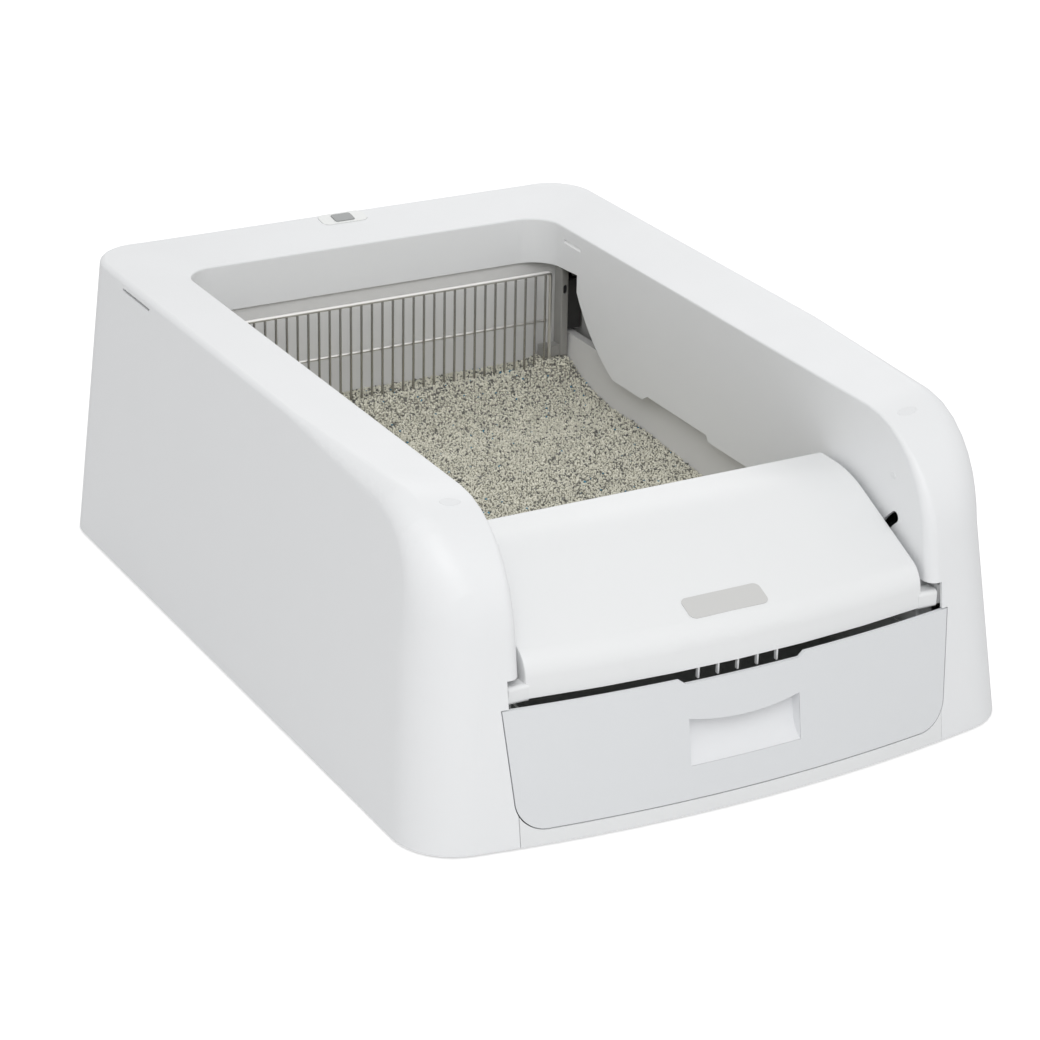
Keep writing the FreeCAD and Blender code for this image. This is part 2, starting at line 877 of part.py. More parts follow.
def rear_form(inset, floor):
    """The rest of the housing: sides and rear, under a rim that slopes inward."""
    top = s.body_height.value + 10
    front = arm_rear.value
    wide = [half_width_at(level).value - inset for level in (floor, top)]
    back = [rear_at(level).value - inset for level in (floor, top)]
    block = Part.makeWedge(
        -wide[0], floor, -back[0], -back[1], -wide[1], wide[0], top, -front, -front, wide[1]
    )
    block.rotate(Vector(), Vector(1, 0, 0), 90)
    upright_edges = [
        block.Edges[number - 1]
        for number in edges_where(block, lambda a, b: abs(a.z - b.z) > 50 and a.y > 0)
    ]
    block = block.makeFillet(s.rear_corner.value - inset, upright_edges)
    level = s.body_height.value - s.rim_drop.value - inset
    slope = rim_slope.value
    rear_slope = s.rim_drop.value / (rear_at(s.body_height).value - s.opening_rear.value)
    lower = arch(
        opening_half.value, s.opening_rear.value, s.opening_corner.value, front - 9, level
    )
    raise_by = s.rim_drop.value + 30
    spread = s.rear_corner.value * 1.15 - s.opening_corner.value
    upper = arch(
        opening_half.value + raise_by / slope,
        s.opening_rear.value + raise_by / rear_slope,
        s.opening_corner.value + spread * raise_by / s.rim_drop.value,
        front - 9, level + raise_by,
    )
    dish = Part.makeLoft([lower, upper], True, True)
    opening = Part.Face(arch(
        opening_half.value + inset, s.opening_rear.value + inset,
        s.opening_corner.value + inset, front - 9, floor - 9,
    )).extrude(Vector(0, 0, top + 40))
    block = block.cut(opening).cut(dish).removeSplitter()

    def on_rim(start, end, inner_side):
        high = min(start.z, end.z) > level - 3
        along = abs(start.z - end.z) < 3
        return high and along and (max(start.z, end.z) < level + 0.5) == inner_side

    def picked(test):
        return [block.Edges[number - 1] for number in edges_where(block, test)]

    outside = picked(
        lambda a, b: on_rim(a, b, False) and min(a.z, b.z) > level + s.rim_drop.value / 2
    )
    if inset == 0:
        block = block.makeFillet(s.rim_rounding.value, outside)
        inside = picked(lambda a, b: on_rim(a, b, True))
        block = block.makeFillet(s.inner_rounding.value, inside)
    return block


def casing(name, inset, floor):
    """Whole outer form of the housing at an inset from its skin."""
    arm = arm_form(inset, floor)
    other = arm.mirror(Vector(), Vector(1, 0, 0))
    item = doc.addObject("Part::Feature", name)
    item.Shape = rear_form(inset, floor).multiFuse([arm, other]).removeSplitter()
    return item


skin = casing("housing_skin", 0.0, s.floor_gap.value)
hollow = casing("housing_hollow", s.shell_wall.value, s.floor_gap.value - 8)


# Housing, cut-outs and bosses

def both_sides(name, item):
    """The piece and its mirror image, as one tool."""
    return fuse(name, [item, mirror(f"{name}_left", item)])


def slot_box(name, wall, place, length, level, height):
    """Slot through a side wall between two X values."""
    return box(
        name, wall,
        (place - length / 2, place + length / 2),
        (level - height / 2, level + height / 2),
    )


inner_wall = (opening_half - 1, opening_half + s.shell_wall + 1)
skirt_back = s.opening_rear + s.shell_wall + 1
notch_slope = 1.5 * s.wall_notch_rise
wall_foot_tool = prism(
    "wall_foot_tool", "YZ", (-inner_wall[1], inner_wall[1]),
    [
        (s.wall_front, -20), (skirt_back, -20), (skirt_back, s.skirt_foot),
        (s.wall_cut_rear, s.wall_cut_top), (s.wall_cut_rear, s.wall_cut_knee),
        (s.wall_cut_front, s.wall_foot), (s.wall_notch_rear + notch_slope, s.wall_foot),
        (s.wall_notch_rear, s.wall_foot + s.wall_notch_rise),
        (s.wall_notch_front, s.wall_foot + s.wall_notch_rise),
        (s.wall_notch_front - notch_slope / 2, s.wall_foot), (s.wall_end, s.wall_foot),
        (s.wall_end, plate_top + s.plate_gap), (s.wall_front, plate_top + s.plate_gap),
    ],
    {4: (s.wall_cut_round, -1)},
)
recess_depth = s.drawer_skin + s.drawer_rim + 2 * s.drawer_gap
drawer_recess = common(
    "drawer_recess",
    drawer_outline("recess_outline", s.drawer_gap, (front_end - 30, s.hinge_place + 60)),
    front_slab(
        "recess_slab", (s.drawer_foot - 20, s.drawer_top + 20), half_width - 40,
        -30, recess_depth + 30,
    ),
)
sill_recess = front_slab(
    "sill_recess", (s.floor_gap - 9, s.sill_top), s.sill_half + s.plate_gap / 2,
    -30, s.sill_depth + 31,
)
tab_half = s.hinge_tab_width / 2
notch_top = s.hinge_level + s.hinge_tab_width
hinge_notch = box(
    "hinge_notch", (opening_half - 5, opening_half + s.hinge_notch_depth - 4.4),
    (front_end, s.hinge_place + tab_half + 2.4), (s.drawer_top - 1, notch_top),
)


def around_hinge(reach, angle):
    """Y and Z of a point at a reach and an angle from the lid's hinge."""
    return (s.hinge_place + reach * cosine(angle), s.hinge_level + reach * sine(angle))


slot_half = s.stop_pin_radius + s.stop_slot_gap
slot_last = s.stop_pin_angle + s.lid_travel
stop_slot = prism(
    "stop_slot", "YZ", inner_wall,
    [
        around_hinge(s.stop_pin_reach + slot_half, s.stop_pin_angle),
        around_hinge(s.stop_pin_reach + slot_half, slot_last),
        around_hinge(s.stop_pin_reach - slot_half, slot_last),
        around_hinge(s.stop_pin_reach - slot_half, s.stop_pin_angle),
    ],
    {
        0: (s.stop_pin_reach + slot_half, 1), 1: (slot_half, 1),
        2: (s.stop_pin_reach - slot_half, -1), 3: (slot_half, 1),
    },
)
hood_slot = slot_box(
    "hood_slot", inner_wall, s.hood_slot_place, s.hood_slot_length,
    s.hood_slot_level, s.hood_slot_height,
)
side_slot = slot_box(
    "side_slot", (half_width_at(s.side_slot_level) - s.shell_wall - 2, half_width),
    s.hood_slot_place, s.side_slot_length, s.side_slot_level, s.side_slot_height,
)

rim_rear_slope = s.rim_drop / (rear_at(s.body_height) - s.opening_rear)
rim_level = s.body_height - s.rim_drop
bezel_level = rim_level + (s.bezel_place - s.opening_rear) * rim_rear_slope


def on_rear_rim(item):
    """Move a piece made around the origin onto the sloping rear rim."""
    item.setExpression("Placement.Rotation.Axis.x", "1")
    item.setExpression("Placement.Rotation.Axis.z", "0")
    item.setExpression("Placement.Rotation.Angle", f"atan({rim_rear_slope.text})")
    return place(item, (0, s.bezel_place, bezel_level))


def round_plate(name, width, depth, corner, bounds):
    """Plate with round corners, centred on the Z axis."""
    x = width / 2
    y = depth / 2
    points = [
        (-x + corner, -y), (x - corner, -y), (x, -y + corner), (x, y - corner),
        (x - corner, y), (-x + corner, y), (-x, y - corner), (-x, -y + corner),
    ]
    arcs = {number: (corner, 1) for number in (1, 3, 5, 7)}
    return prism(name, "XY", bounds, points, arcs)


bezel_corner = s.bezel_depth / 3
bezel_recess = on_rear_rim(round_plate(
    "bezel_recess", s.bezel_width + 0.4, s.bezel_depth + 0.4, bezel_corner + 0.2,
    (0.4 - s.bezel_thickness, 9),
))
button_hole = on_rear_rim(round_plate(
    "button_hole", s.button_width + 4, s.button_depth + 3, bezel_corner / 2, (-12, 9),
))
inlet_rear = rear_at(s.inlet_level)
inlet_hole = rod(
    "inlet_hole", "y", (s.inlet_place, inlet_rear - 9, s.inlet_level), s.inlet_radius + 0.2, 20,
)

boss_across = half_width - s.boss_inset
boss_rows = [step * s.boss_step + s.boss_step / 14 for step in (-1.5, -0.5, 0.5, 1.5)]
bosses = []
screw_holes = []
for number, along in enumerate(boss_rows):
    for side in (-1, 1):
        where = (side * boss_across, along, plate_top)
        bosses.append(rod(f"boss_{number}", "z", where, s.boss_radius, s.boss_height))
        screw_holes.append(
            rod(f"boss_hole_{number}", "z", where, s.screw_radius + 0.1, s.screw_length)
        )
board_rear = s.bezel_place + 6
board_posts = [
    rod(
        f"board_post_{side}", "z",
        (side * s.board_width * 0.4, s.bezel_place - 14, s.board_level + s.board_thickness), 3,
        rim_level + 3 - s.board_level,
    )
    for side in (-1, 1)
]

shell = cut("shell", skin, [hollow])
bare_shell = cut(
    "bare_shell", shell,
    [
        wall_foot_tool, drawer_recess, sill_recess, both_sides("hinge_notches", hinge_notch),
        both_sides("stop_slots", stop_slot), both_sides("hood_slots", hood_slot),
        both_sides("side_slots", side_slot), bezel_recess, button_hole, inlet_hole,
    ],
)
pieces = []


def keep(item, name):
    """Give a finished piece its name and put it on the list to be written."""
    item.Label = name
    pieces.append(item)
    return item


keep(cut("housing_cut", fuse("bossed_shell", [bare_shell, *bosses, *board_posts]), screw_holes), "housing")


# Base: a floor plate with the sill, tray ribs, guide walls and drawer rails

plate_half = half_width_at(plate_top) - s.shell_wall - s.plate_gap
plate_rear = rear_at(plate_top) - s.shell_wall - s.plate_gap
plate_corner = s.front_corner


def corner_rectangle(name, x, y, corner, bounds):
    """Upright prism of a rectangle with four equal round corners."""
    points = [
        (x[0] + corner, y[0]), (x[1] - corner, y[0]), (x[1], y[0] + corner),
        (x[1], y[1] - corner), (x[1] - corner, y[1]), (x[0] + corner, y[1]),
        (x[0], y[1] - corner), (x[0], y[0] + corner),
    ]
    arcs = {number: (corner, 1) for number in (1, 3, 5, 7)}
    return prism(name, "XY", bounds, points, arcs)


floor_plate = corner_rectangle(
    "floor_plate", (-plate_half, plate_half), (s.plate_front, plate_rear), plate_corner,
    (s.plate_level, plate_top),
)
tongue = front_slab("sill_tongue", (s.plate_level, plate_top), s.sill_half - 4, 2, 24)
sill_block = front_slab("sill_block", (s.floor_gap, s.sill_top), s.sill_half, 0, s.sill_depth)
sill_space = drawer_outline("sill_space", s.drawer_gap, (front_end - 30, s.hinge_place))
sill = cut("sill", sill_block, [sill_space])
sill_bumps = [
    common(
        f"sill_bump_{side}",
        rod(
            f"sill_bump_rod_{side}", "y", (side * s.scoop_half, front_end, s.sill_bump_level),
            s.sill_bump, s.sill_depth,
        ),
        front_slab(
            f"sill_bump_slab_{side}", (s.floor_gap, s.rail_top), s.sill_half, 0,
            s.sill_depth,
        ),
    )
    for side in (-1, 1)
]
rib_top = plate_top + s.rib_height
tray_front = s.ramp_top - 6
long_ribs = [
    box(f"long_rib_{number}", (place - s.rib_width / 2, place + s.rib_width / 2),
        (tray_front + 20, s.tray_rear - 25), (plate_top, rib_top))
    for number, place in enumerate((-s.tray_floor_half * 0.72, dim(0), s.tray_floor_half * 0.72))
]
cross_ribs = [
    box(f"cross_rib_{number}", (-s.tray_floor_half * 0.72, s.tray_floor_half * 0.72),
        (s.tray_rear * share - s.rib_width / 2, s.tray_rear * share + s.rib_width / 2),
        (plate_top, rib_top))
    for number, share in enumerate((-0.4, 0.2, 0.8))
]
guide_start = s.tray_half + s.guide_wall_gap
guide_walls = [
    box(f"guide_wall_{side}",
        (guide_start, guide_start + s.rib_width) if side > 0
        else (-guide_start - s.rib_width, -guide_start),
        (s.tray_rear * -0.5, s.tray_rear * 0.9), (plate_top, s.guide_wall_height))
    for side in (-1, 1)
]
partition_start = s.tray_rear + s.tray_wall + s.guide_wall_gap
partition = box(
    "partition", (-guide_start, guide_start),
    (partition_start, partition_start + s.rib_width), (plate_top, s.partition_height),
)
rail_half = s.bin_half * 0.8
drawer_rails = [
    box(f"drawer_rail_{side}", (side * rail_half - s.rib_width, side * rail_half + s.rib_width),
        (s.plate_front, s.bin_rear), (plate_top, s.rail_top))
    for side in (-1, 1)
]
plate_holes = [
    rod(f"plate_hole_{number}", "z", (side * boss_across, along, 0), s.screw_radius + 0.3,
        plate_top)
    for number, (side, along) in enumerate((side, along) for side in (-1, 1) for along in boss_rows)
]
base_form = fuse(
    "base_form",
    [floor_plate, tongue, sill, *sill_bumps, *long_ribs, *cross_ribs, *guide_walls, partition,
     *drawer_rails],
)
keep(cut("base_cut", base_form, plate_holes), "base_tub")

foot_places = [
    (across * (half_width - s.foot_inset), along * (rear_end - s.foot_inset))
    for across in (-1, 1) for along in (-1, 1)
]
feet = []
for number, (across, along) in enumerate(foot_places):
    foot = doc.addObject("Part::Cone", f"foot_{number}")
    foot.setExpression("Radius1", (s.foot_radius - 1.5).text)
    foot.setExpression("Radius2", s.foot_radius.text)
    foot.setExpression("Height", s.plate_level.text)
    feet.append(place(foot, (across, along, 0)))
keep(group("feet", feet), "rubber_feet")

screws = []
for number, (side, along) in enumerate((side, along) for side in (-1, 1) for along in boss_rows):
    middle = (side * boss_across, along)
    shank = prism(
        f"screw_shank_{number}", "XY", (s.plate_level, s.plate_level + s.screw_length),
        octagon(s.screw_radius, *middle),
    )
    head = prism(
        f"screw_head_{number}", "XY", (s.plate_level - s.screw_head_height, s.plate_level),
        octagon(s.screw_head_radius, *middle),
    )
    screws.append(fuse(f"screw_{number}", [shank, head]))
keep(group("screws", screws), "housing_screws")


# Litter tray: a tapered tub with a ramp in front and a raised back

tray_foot = rib_top
tray_taper = (s.tray_half - s.tray_floor_half) / (s.tray_rim - tray_foot)


def tray_section(name, level, inset):
    """Horizontal section of the tub at a level, moved inward by an inset."""
    spread = (dim(level) - tray_foot) * tray_taper
    half = s.tray_floor_half + spread - inset
    rear = s.tray_rear + s.tray_wall - (s.tray_back - tray_foot) * tray_taper + spread - inset
    front = tray_front + inset
    corner = s.tray_corner + spread - inset
    points = [
        (-half, front), (half, front), (half, rear - corner), (half - corner, rear),
        (-half + corner, rear), (-half, rear - corner),
    ]
    return flat_sketch(name, "XY", level, points, {2: (corner, 1), 4: (corner, 1)})


def tub(name, levels, inset):
    """Tapered tub form between two levels."""
    sections = [
        tray_section(f"{name}_{number}", level, inset) for number, level in enumerate(levels)
    ]
    return loft(name, sections)


tray_form = tub("tray_form", (tray_foot, s.tray_back), 0)
tray_space_side = [
    (s.ramp_foot, tray_foot + s.tray_wall), (s.tray_rear + 9, tray_foot + s.tray_wall),
    (s.tray_rear + 9, s.tray_back + 9), (tray_front - 9, s.tray_back + 9),
    (tray_front - 9, s.ramp_level), (s.ramp_top, s.ramp_level),
]
tray_hollow = common(
    "tray_hollow",
    tub("tray_hollow_tub", (tray_foot, s.tray_back + 9), s.tray_wall),
    prism("tray_hollow_side", "YZ", (-half_width, half_width), tray_space_side),
)
ramp_underside = prism(
    "ramp_underside", "YZ", (-half_width, half_width),
    [
        (tray_front - 9, tray_foot - 9), (s.ramp_foot - 2 * s.tray_wall, tray_foot - 9),
        (s.ramp_foot - 2 * s.tray_wall, tray_foot),
        (s.ramp_top + s.tray_wall, s.ramp_level - 1.6 * s.tray_wall),
        (tray_front + s.tray_wall, s.ramp_level - 1.6 * s.tray_wall),
        (tray_front + s.tray_wall, tray_foot + 4), (tray_front - 9, tray_foot + 4),
    ],
)
rim_cut = box(
    "rim_cut", (-half_width, half_width), (tray_front - 9, s.tray_back_start),
    (s.tray_rim, s.tray_back + 9),
)
flange_half = s.tray_half + s.flange_reach
flange_sides = both_sides(
    "flange_sides",
    box("flange_right", (s.tray_half - s.tray_wall / 2, flange_half),
        (tray_front + 12, s.tray_back_start - 6), (s.tray_rim - s.tray_wall, s.tray_rim)),
)
front_cut = box(
    "front_cut", (s.tray_wall - s.tray_floor_half, s.tray_floor_half - s.tray_wall),
    (tray_front - 9, tray_front + 2 * s.tray_wall), (s.ramp_level, s.tray_back + 9),
)
tray_shell = cut("tray_shell", tray_form, [tray_hollow, ramp_underside, rim_cut, front_cut])
keep(fuse("tray_fuse", [tray_shell, flange_sides]), "litter_tray")

# Litter, piled at the rear

litter_foot = tray_foot + s.tray_wall + s.litter_gap
ramp_run = (s.ramp_top - s.ramp_foot) / (s.ramp_level - tray_foot - s.tray_wall)
ramp_gap = 1.4 * s.litter_gap
litter_shore = s.ramp_foot + ramp_gap + (s.litter_front_level - litter_foot) * ramp_run
litter_side = [
    (s.ramp_foot + ramp_gap, litter_foot), (s.tray_rear - s.litter_gap, litter_foot),
    (s.tray_rear - s.litter_gap, s.litter_rear_level - 3),
    (s.rake_place - 14, s.litter_rear_level), (s.rake_place - 110, s.litter_middle_level),
    (0, s.litter_front_level), (litter_shore, s.litter_front_level),
]
tine_slot = box(
    "tine_slot", (-s.rake_half - 4, s.rake_half + 4),
    (s.rake_place - s.litter_slot / 2, s.rake_place + s.litter_slot / 2),
    (s.tine_foot - 2, s.tray_back),
)
litter_form = common(
    "litter_form",
    tub("litter_tub", (tray_foot, s.tray_back), s.tray_wall + s.litter_gap),
    prism(
        "litter_side", "YZ", (-half_width, half_width), litter_side,
        {2: (s.litter_bend, 1), 3: (2 * s.litter_bend, -1)},
    ),
)
keep(cut("litter_cut", litter_form, [tine_slot]), "litter_bed")

# Rake: tines on two cross wires between two end cranks

tine_rows = s.tine_count.value
tines = body("tines")
first_tine = -(s.tine_count - 1) / 2 * s.tine_pitch
tine_sketch = body_sketch(
    tines, "XY", s.tine_foot, octagon(s.tine_radius, first_tine, s.rake_place)
)
tine_pad = pad(tines, tine_sketch, s.top_wire_level - s.top_wire_radius - s.tine_foot)
row = tines.newObject("PartDesign::LinearPattern", "tine_row")
row.Originals = [tine_pad]
row.Direction = (tine_sketch, ["H_Axis"])
row.Mode = "Extent"
row.setExpression("Length", ((s.tine_count - 1) * s.tine_pitch).text)
row.setExpression("Occurrences", s.tine_count.text)
tines.Tip = row
keep(tines, "rake_tines")


def bent_wire(name, points, arcs, radius):
    """Eight-sided wire along an open path of lines and arcs across the rake's plane."""
    path = doc.addObject("Sketcher::SketchObject", f"{name}_path")
    path.Placement = Placement(Vector(), PLANES["XZ"])
    path.setExpression("Placement.Base.y", s.rake_place.text)
    draw(path, points, arcs, closed=False)
    section = doc.addObject("Sketcher::SketchObject", f"{name}_section")
    start = points[0]
    draw(section, octagon(radius))
    place(section, (start[0], s.rake_place, start[1]))
    sweep = doc.addObject("Part::Sweep", name)
    sweep.Sections = [section]
    doc.recompute()
    sweep.Spine = (path, [f"Edge{number + 1}" for number in range(len(path.Shape.Edges))])
    sweep.Solid = True
    sweep.Frenet = True
    return sweep


wire_bend = 2 * s.top_wire_radius
wire_knee = s.top_wire_level - wire_bend
keep(bent_wire(
    "top_wire",
    [
        (s.rake_half, s.tine_foot), (s.rake_half, wire_knee),
        (s.rake_half - wire_bend, s.top_wire_level), (-s.rake_half + wire_bend, s.top_wire_level),
        (-s.rake_half, wire_knee), (-s.rake_half, s.tine_foot),
    ],
    {1: (wire_bend, 1), 3: (wire_bend, 1)}, s.top_wire_radius,
), "rake_top_wire")
middle_half = s.rake_half - 1.4
middle_place = s.rake_place + 2 * s.tine_radius
keep(rod(
    "middle_wire", "x", (-middle_half, middle_place, s.middle_wire_level), s.tine_radius,
    2 * middle_half,
), "rake_middle_wire")

crank_inner = opening_half + s.shell_wall + s.crank_gap
crank_outer = crank_inner + s.crank_width
crank_front = s.rake_place + s.top_wire_radius
crank_rear = s.rake_place + s.crank_depth
carriage_inner = s.rail_place - s.carriage_half
crank_parts = [
    box("crank_block", (crank_inner, crank_outer), (s.rake_place, crank_rear),
        (s.crank_foot, s.crank_top)),
    box("crank_foot", (s.rake_half - 4, crank_outer), (crank_front, crank_rear),
        (s.crank_foot, s.crank_foot + s.crank_foot_height)),
    box("crank_arm", (crank_inner, carriage_inner), (crank_front + 3, crank_rear),
        (s.tray_rim + 3, s.rail_level - 8)),
]
crank_slot = prism(
    "crank_slot", "XZ", (s.rake_place - 1, s.rake_place + 3),
    [
        (crank_inner + 1.4, s.crank_slot_level - 2), (crank_outer - 1.4, s.crank_slot_level - 2),
        (crank_outer - 1.4, s.crank_slot_level + 2), (crank_inner + 1.4, s.crank_slot_level + 2),
    ],
    {0: ((s.crank_width - 2.8) / 2, 1), 2: ((s.crank_width - 2.8) / 2, 1)},
)
crank_raw = cut("crank_raw", fuse("crank_form", crank_parts), [crank_slot])
crank = rounded(
    "crank", crank_raw, s.crank_edge,
    lambda a, b: max(a.x, b.x) < crank_outer.value + 0.1 and a.y < s.rake_place.value + 0.1
    and b.y < s.rake_place.value + 0.1 and abs(a.z - b.z) > 20,
)
keep(crank, "rake_crank_right")
keep(mirror("crank_left", crank), "rake_crank_left")

# Rake drive: carriages on guide rods, pulled by two toothed belts

carriage_place = s.rake_place + s.crank_depth / 2
carriage_y = (carriage_place - s.carriage_length / 2, carriage_place + s.carriage_length / 2)
bush_outer = s.rail_radius + s.bush_wall
carriage_block = box(
    "carriage_block", (carriage_inner, s.rail_place + s.carriage_half), carriage_y,
    (s.rail_level - s.carriage_half - 3, s.rail_level + s.carriage_half),
)
carriage_bore = rod(
    "carriage_bore", "y", (s.rail_place, carriage_y[0], s.rail_level), bush_outer,
    s.carriage_length,
)
carriage_raw = cut("carriage_raw", carriage_block, [carriage_bore])
carriage = rounded(
    "carriage", carriage_raw, s.carriage_edge,
    lambda a, b: abs(a.y - b.y) > 20 and abs(a.z - s.rail_level.value) > 9,
)
keep(carriage, "carriage_right")
keep(mirror("carriage_left", carriage), "carriage_left")


def ring(name, axis, where, outer, inner, length):
    """Plain sleeve."""
    return cut(name, rod(f"{name}_outer", axis, where, outer, length),
               [rod(f"{name}_inner", axis, where, inner, length)])


bushes = []
for side in (-1, 1):
    for number, start in enumerate((carriage_y[0], carriage_y[1] - s.bush_length)):
        bushes.append(ring(
            f"bush_{number}", "y", (side * s.rail_place, start, s.rail_level), bush_outer,
            s.rail_radius + s.run_gap, s.bush_length,
        ))
keep(group("bushes", bushes), "carriage_bushes")

pulley_pitch = s.pulley_teeth * s.belt_pitch / (2 * math.pi)
belt_top = s.shaft_level + pulley_pitch
belt_half = s.belt_width / 2
clamp_gap = 0.3 + s.belt_thickness / 2
clamp_y = (carriage_place - s.clamp_length / 2, carriage_place + s.clamp_length / 2)
clamp_start = s.rail_place + s.carriage_half
clamp = cut(
    "clamp",
    box("clamp_block", (clamp_start, s.belt_place + belt_half + 0.6), clamp_y,
        (belt_top - s.clamp_jaw, s.rail_level - 1)),
    [
        box("clamp_mouth", (s.belt_place - belt_half - 0.4, s.belt_place + belt_half + 9),
            clamp_y, (belt_top - clamp_gap, belt_top + clamp_gap)),
        box("clamp_relief", (s.belt_place - belt_half - 0.4, s.belt_place + belt_half + 9),
            clamp_y, (belt_top + s.clamp_jaw, s.rail_level)),
    ],
)
keep(both_sides("clamps", clamp), "belt_clamps")

rod_front = s.bracket_front + s.bracket_seat / 3
rod_rear = s.shaft_place - s.shaft_radius - 1.5
for side, name in ((1, "right"), (-1, "left")):
    keep(rod(
        f"guide_rod_{name}", "y", (side * s.rail_place, rod_front, s.rail_level),
        s.rail_radius, rod_rear - rod_front,
    ), f"guide_rod_{name}")


def track(name, radius, x):
    """Closed loop form around both belt pulleys."""
    return prism(
        name, "YZ", x,
        [
            (s.idler_place, s.shaft_level - radius), (s.shaft_place, s.shaft_level - radius),
            (s.shaft_place, s.shaft_level + radius), (s.idler_place, s.shaft_level + radius),
        ],
        {1: (radius, 1), 3: (radius, 1)},
    )


belt_x = (s.belt_place - belt_half, s.belt_place + belt_half)
belt = cut(
    "belt", track("belt_outer", pulley_pitch + s.belt_thickness / 2, belt_x),
    [track("belt_inner", pulley_pitch - s.belt_thickness / 2, belt_x)],
)
keep(belt, "drive_belt_right")
keep(mirror("belt_left", belt), "drive_belt_left")


def bracket(name, y, seat, bores):
    """Post on the base that carries a guide rod and the belt drive."""
    x = (s.rail_place - s.post_half, s.rail_place + s.post_half)
    middle = (y[0] + y[1]) / 2
    web = s.post_web / 2
    parts = [
        box(f"{name}_post", x, (middle - web, middle + web), (plate_top, s.bracket_top)),
        box(f"{name}_foot", (x[0] - 3, x[1] + 14), (y[0] - 3, y[1] + 3),
            (plate_top, plate_top + 4)),
        box(f"{name}_rib", (s.rail_place - 2, s.rail_place + 2), y,
            (plate_top, s.shaft_level - 10)),
        box(f"{name}_seat", x, seat, (s.rail_level - s.post_half, s.bracket_top)),
        rod(f"{name}_hub", "x", (x[0], middle, s.shaft_level), s.hub_radius, 2 * s.post_half),
    ]
    raw = cut(f"{name}_raw", fuse(f"{name}_form", parts), bores)
    return raw


front_y = (s.bracket_front, s.bracket_front + s.bracket_seat)
axle_seat = rod(
    "axle_seat", "x", (s.rail_place - 2, s.idler_place, s.shaft_level), s.shaft_radius, 40,
)
front_rod_seat = rod(
    "front_rod_seat", "y", (s.rail_place, rod_front, s.rail_level), s.rail_radius, 40,
)
front_bracket = bracket(
    "front_bracket", (s.idler_place - s.bracket_seat / 2, s.idler_place + s.bracket_seat / 2),
    (s.idler_place - s.bracket_seat / 2, front_y[1]), [axle_seat, front_rod_seat],
)
keep(front_bracket, "front_bracket_right")
keep(mirror("front_bracket_left", front_bracket), "front_bracket_left")

bearing_outer = s.shaft_radius + 2.5
shaft_bore = rod(
    "shaft_bore", "x", (s.rail_place - 40, s.shaft_place, s.shaft_level), bearing_outer, 80,
)
rear_rod_seat = rod(
    "rear_rod_seat", "y", (s.rail_place, s.shaft_place - 40, s.rail_level), s.rail_radius,
    rod_rear - s.shaft_place + 40,
)
rear_bracket = bracket(
    "rear_bracket", (s.shaft_place - s.bracket_seat / 2, s.shaft_place + s.bracket_seat / 2),
    (s.shaft_place - s.bracket_seat / 2 - 2, s.shaft_place + s.post_web / 2),
    [shaft_bore, rear_rod_seat],
)
keep(rear_bracket, "rear_bracket_right")
keep(mirror("rear_bracket_left", rear_bracket), "rear_bracket_left")
bearing = ring(
    "bearing", "x", (s.rail_place - s.post_half, s.shaft_place, s.shaft_level), bearing_outer,
    s.shaft_radius + s.run_gap, 2 * s.post_half,
)
keep(both_sides("bearings", bearing), "shaft_bearings")


def toothed(name, where, radius, depth, space, teeth, length, bore):
    """Wheel turning about X with straight-sided tooth spaces."""
    owner = body(name)
    blank = ring_sketch(owner, "YZ", 0, (0, 0), radius)
    pad(owner, blank, length)
    pocket(owner, ring_sketch(owner, "YZ", 0, (0, 0), bore), length)
    wide, narrow = space
    notch = pocket(
        owner,
        body_sketch(
            owner, "YZ", 0,
            [
                (-narrow / 2, radius - depth), (narrow / 2, radius - depth),
                (wide / 2, radius + 0.5), (-wide / 2, radius + 0.5),
            ],
        ),
        length,
    )
    pattern = owner.newObject("PartDesign::PolarPattern", f"{name}_teeth")
    pattern.Originals = [notch]
    pattern.Axis = (blank, ["N_Axis"])
    pattern.Angle = 360
    pattern.setExpression("Occurrences", dim(teeth).text)
    owner.Tip = pattern
    return place(owner, where)


pulley_radius = pulley_pitch - s.belt_thickness / 2 - s.belt_gap
flange_radius = pulley_pitch + s.belt_thickness


def pulley(name, side, along, bore):
    """Flanged belt pulley on one side of the box, turned about its own X axis."""
    half_face = s.pulley_face / 2
    half_all = half_face + s.pulley_flange
    owner = turned(
        name, "XZ",
        [
            (-half_all, bore), (half_all, bore), (half_all, flange_radius),
            (half_face, flange_radius), (half_face, pulley_radius),
            (-half_face, pulley_radius), (-half_face, flange_radius),
            (-half_all, flange_radius),
        ],
        "H_Axis",
    )
    return place(owner, (side * s.belt_place, along, s.shaft_level))


for side, name in ((1, "right"), (-1, "left")):
    keep(pulley(f"drive_pulley_{name}", side, s.shaft_place, s.shaft_radius),
         f"drive_pulley_{name}")
    keep(pulley(f"idler_{name}", side, s.idler_place, s.shaft_radius + s.run_gap),
         f"idler_pulley_{name}")

shaft_half = s.belt_place + s.pulley_face / 2 + s.pulley_flange + 1
shaft_groove = shaft_half - 1.5
shaft_neck = s.shaft_radius - 0.5
shaft = turned(
    "shaft", "XZ",
    [
        (-shaft_half, 0), (shaft_half, 0), (shaft_half, shaft_neck),
        (shaft_groove, s.shaft_radius), (-shaft_groove, s.shaft_radius),
        (-shaft_half, shaft_neck),
    ],
    "H_Axis",
)
place(shaft, (0, s.shaft_place, s.shaft_level))
keep(shaft, "cross_shaft")

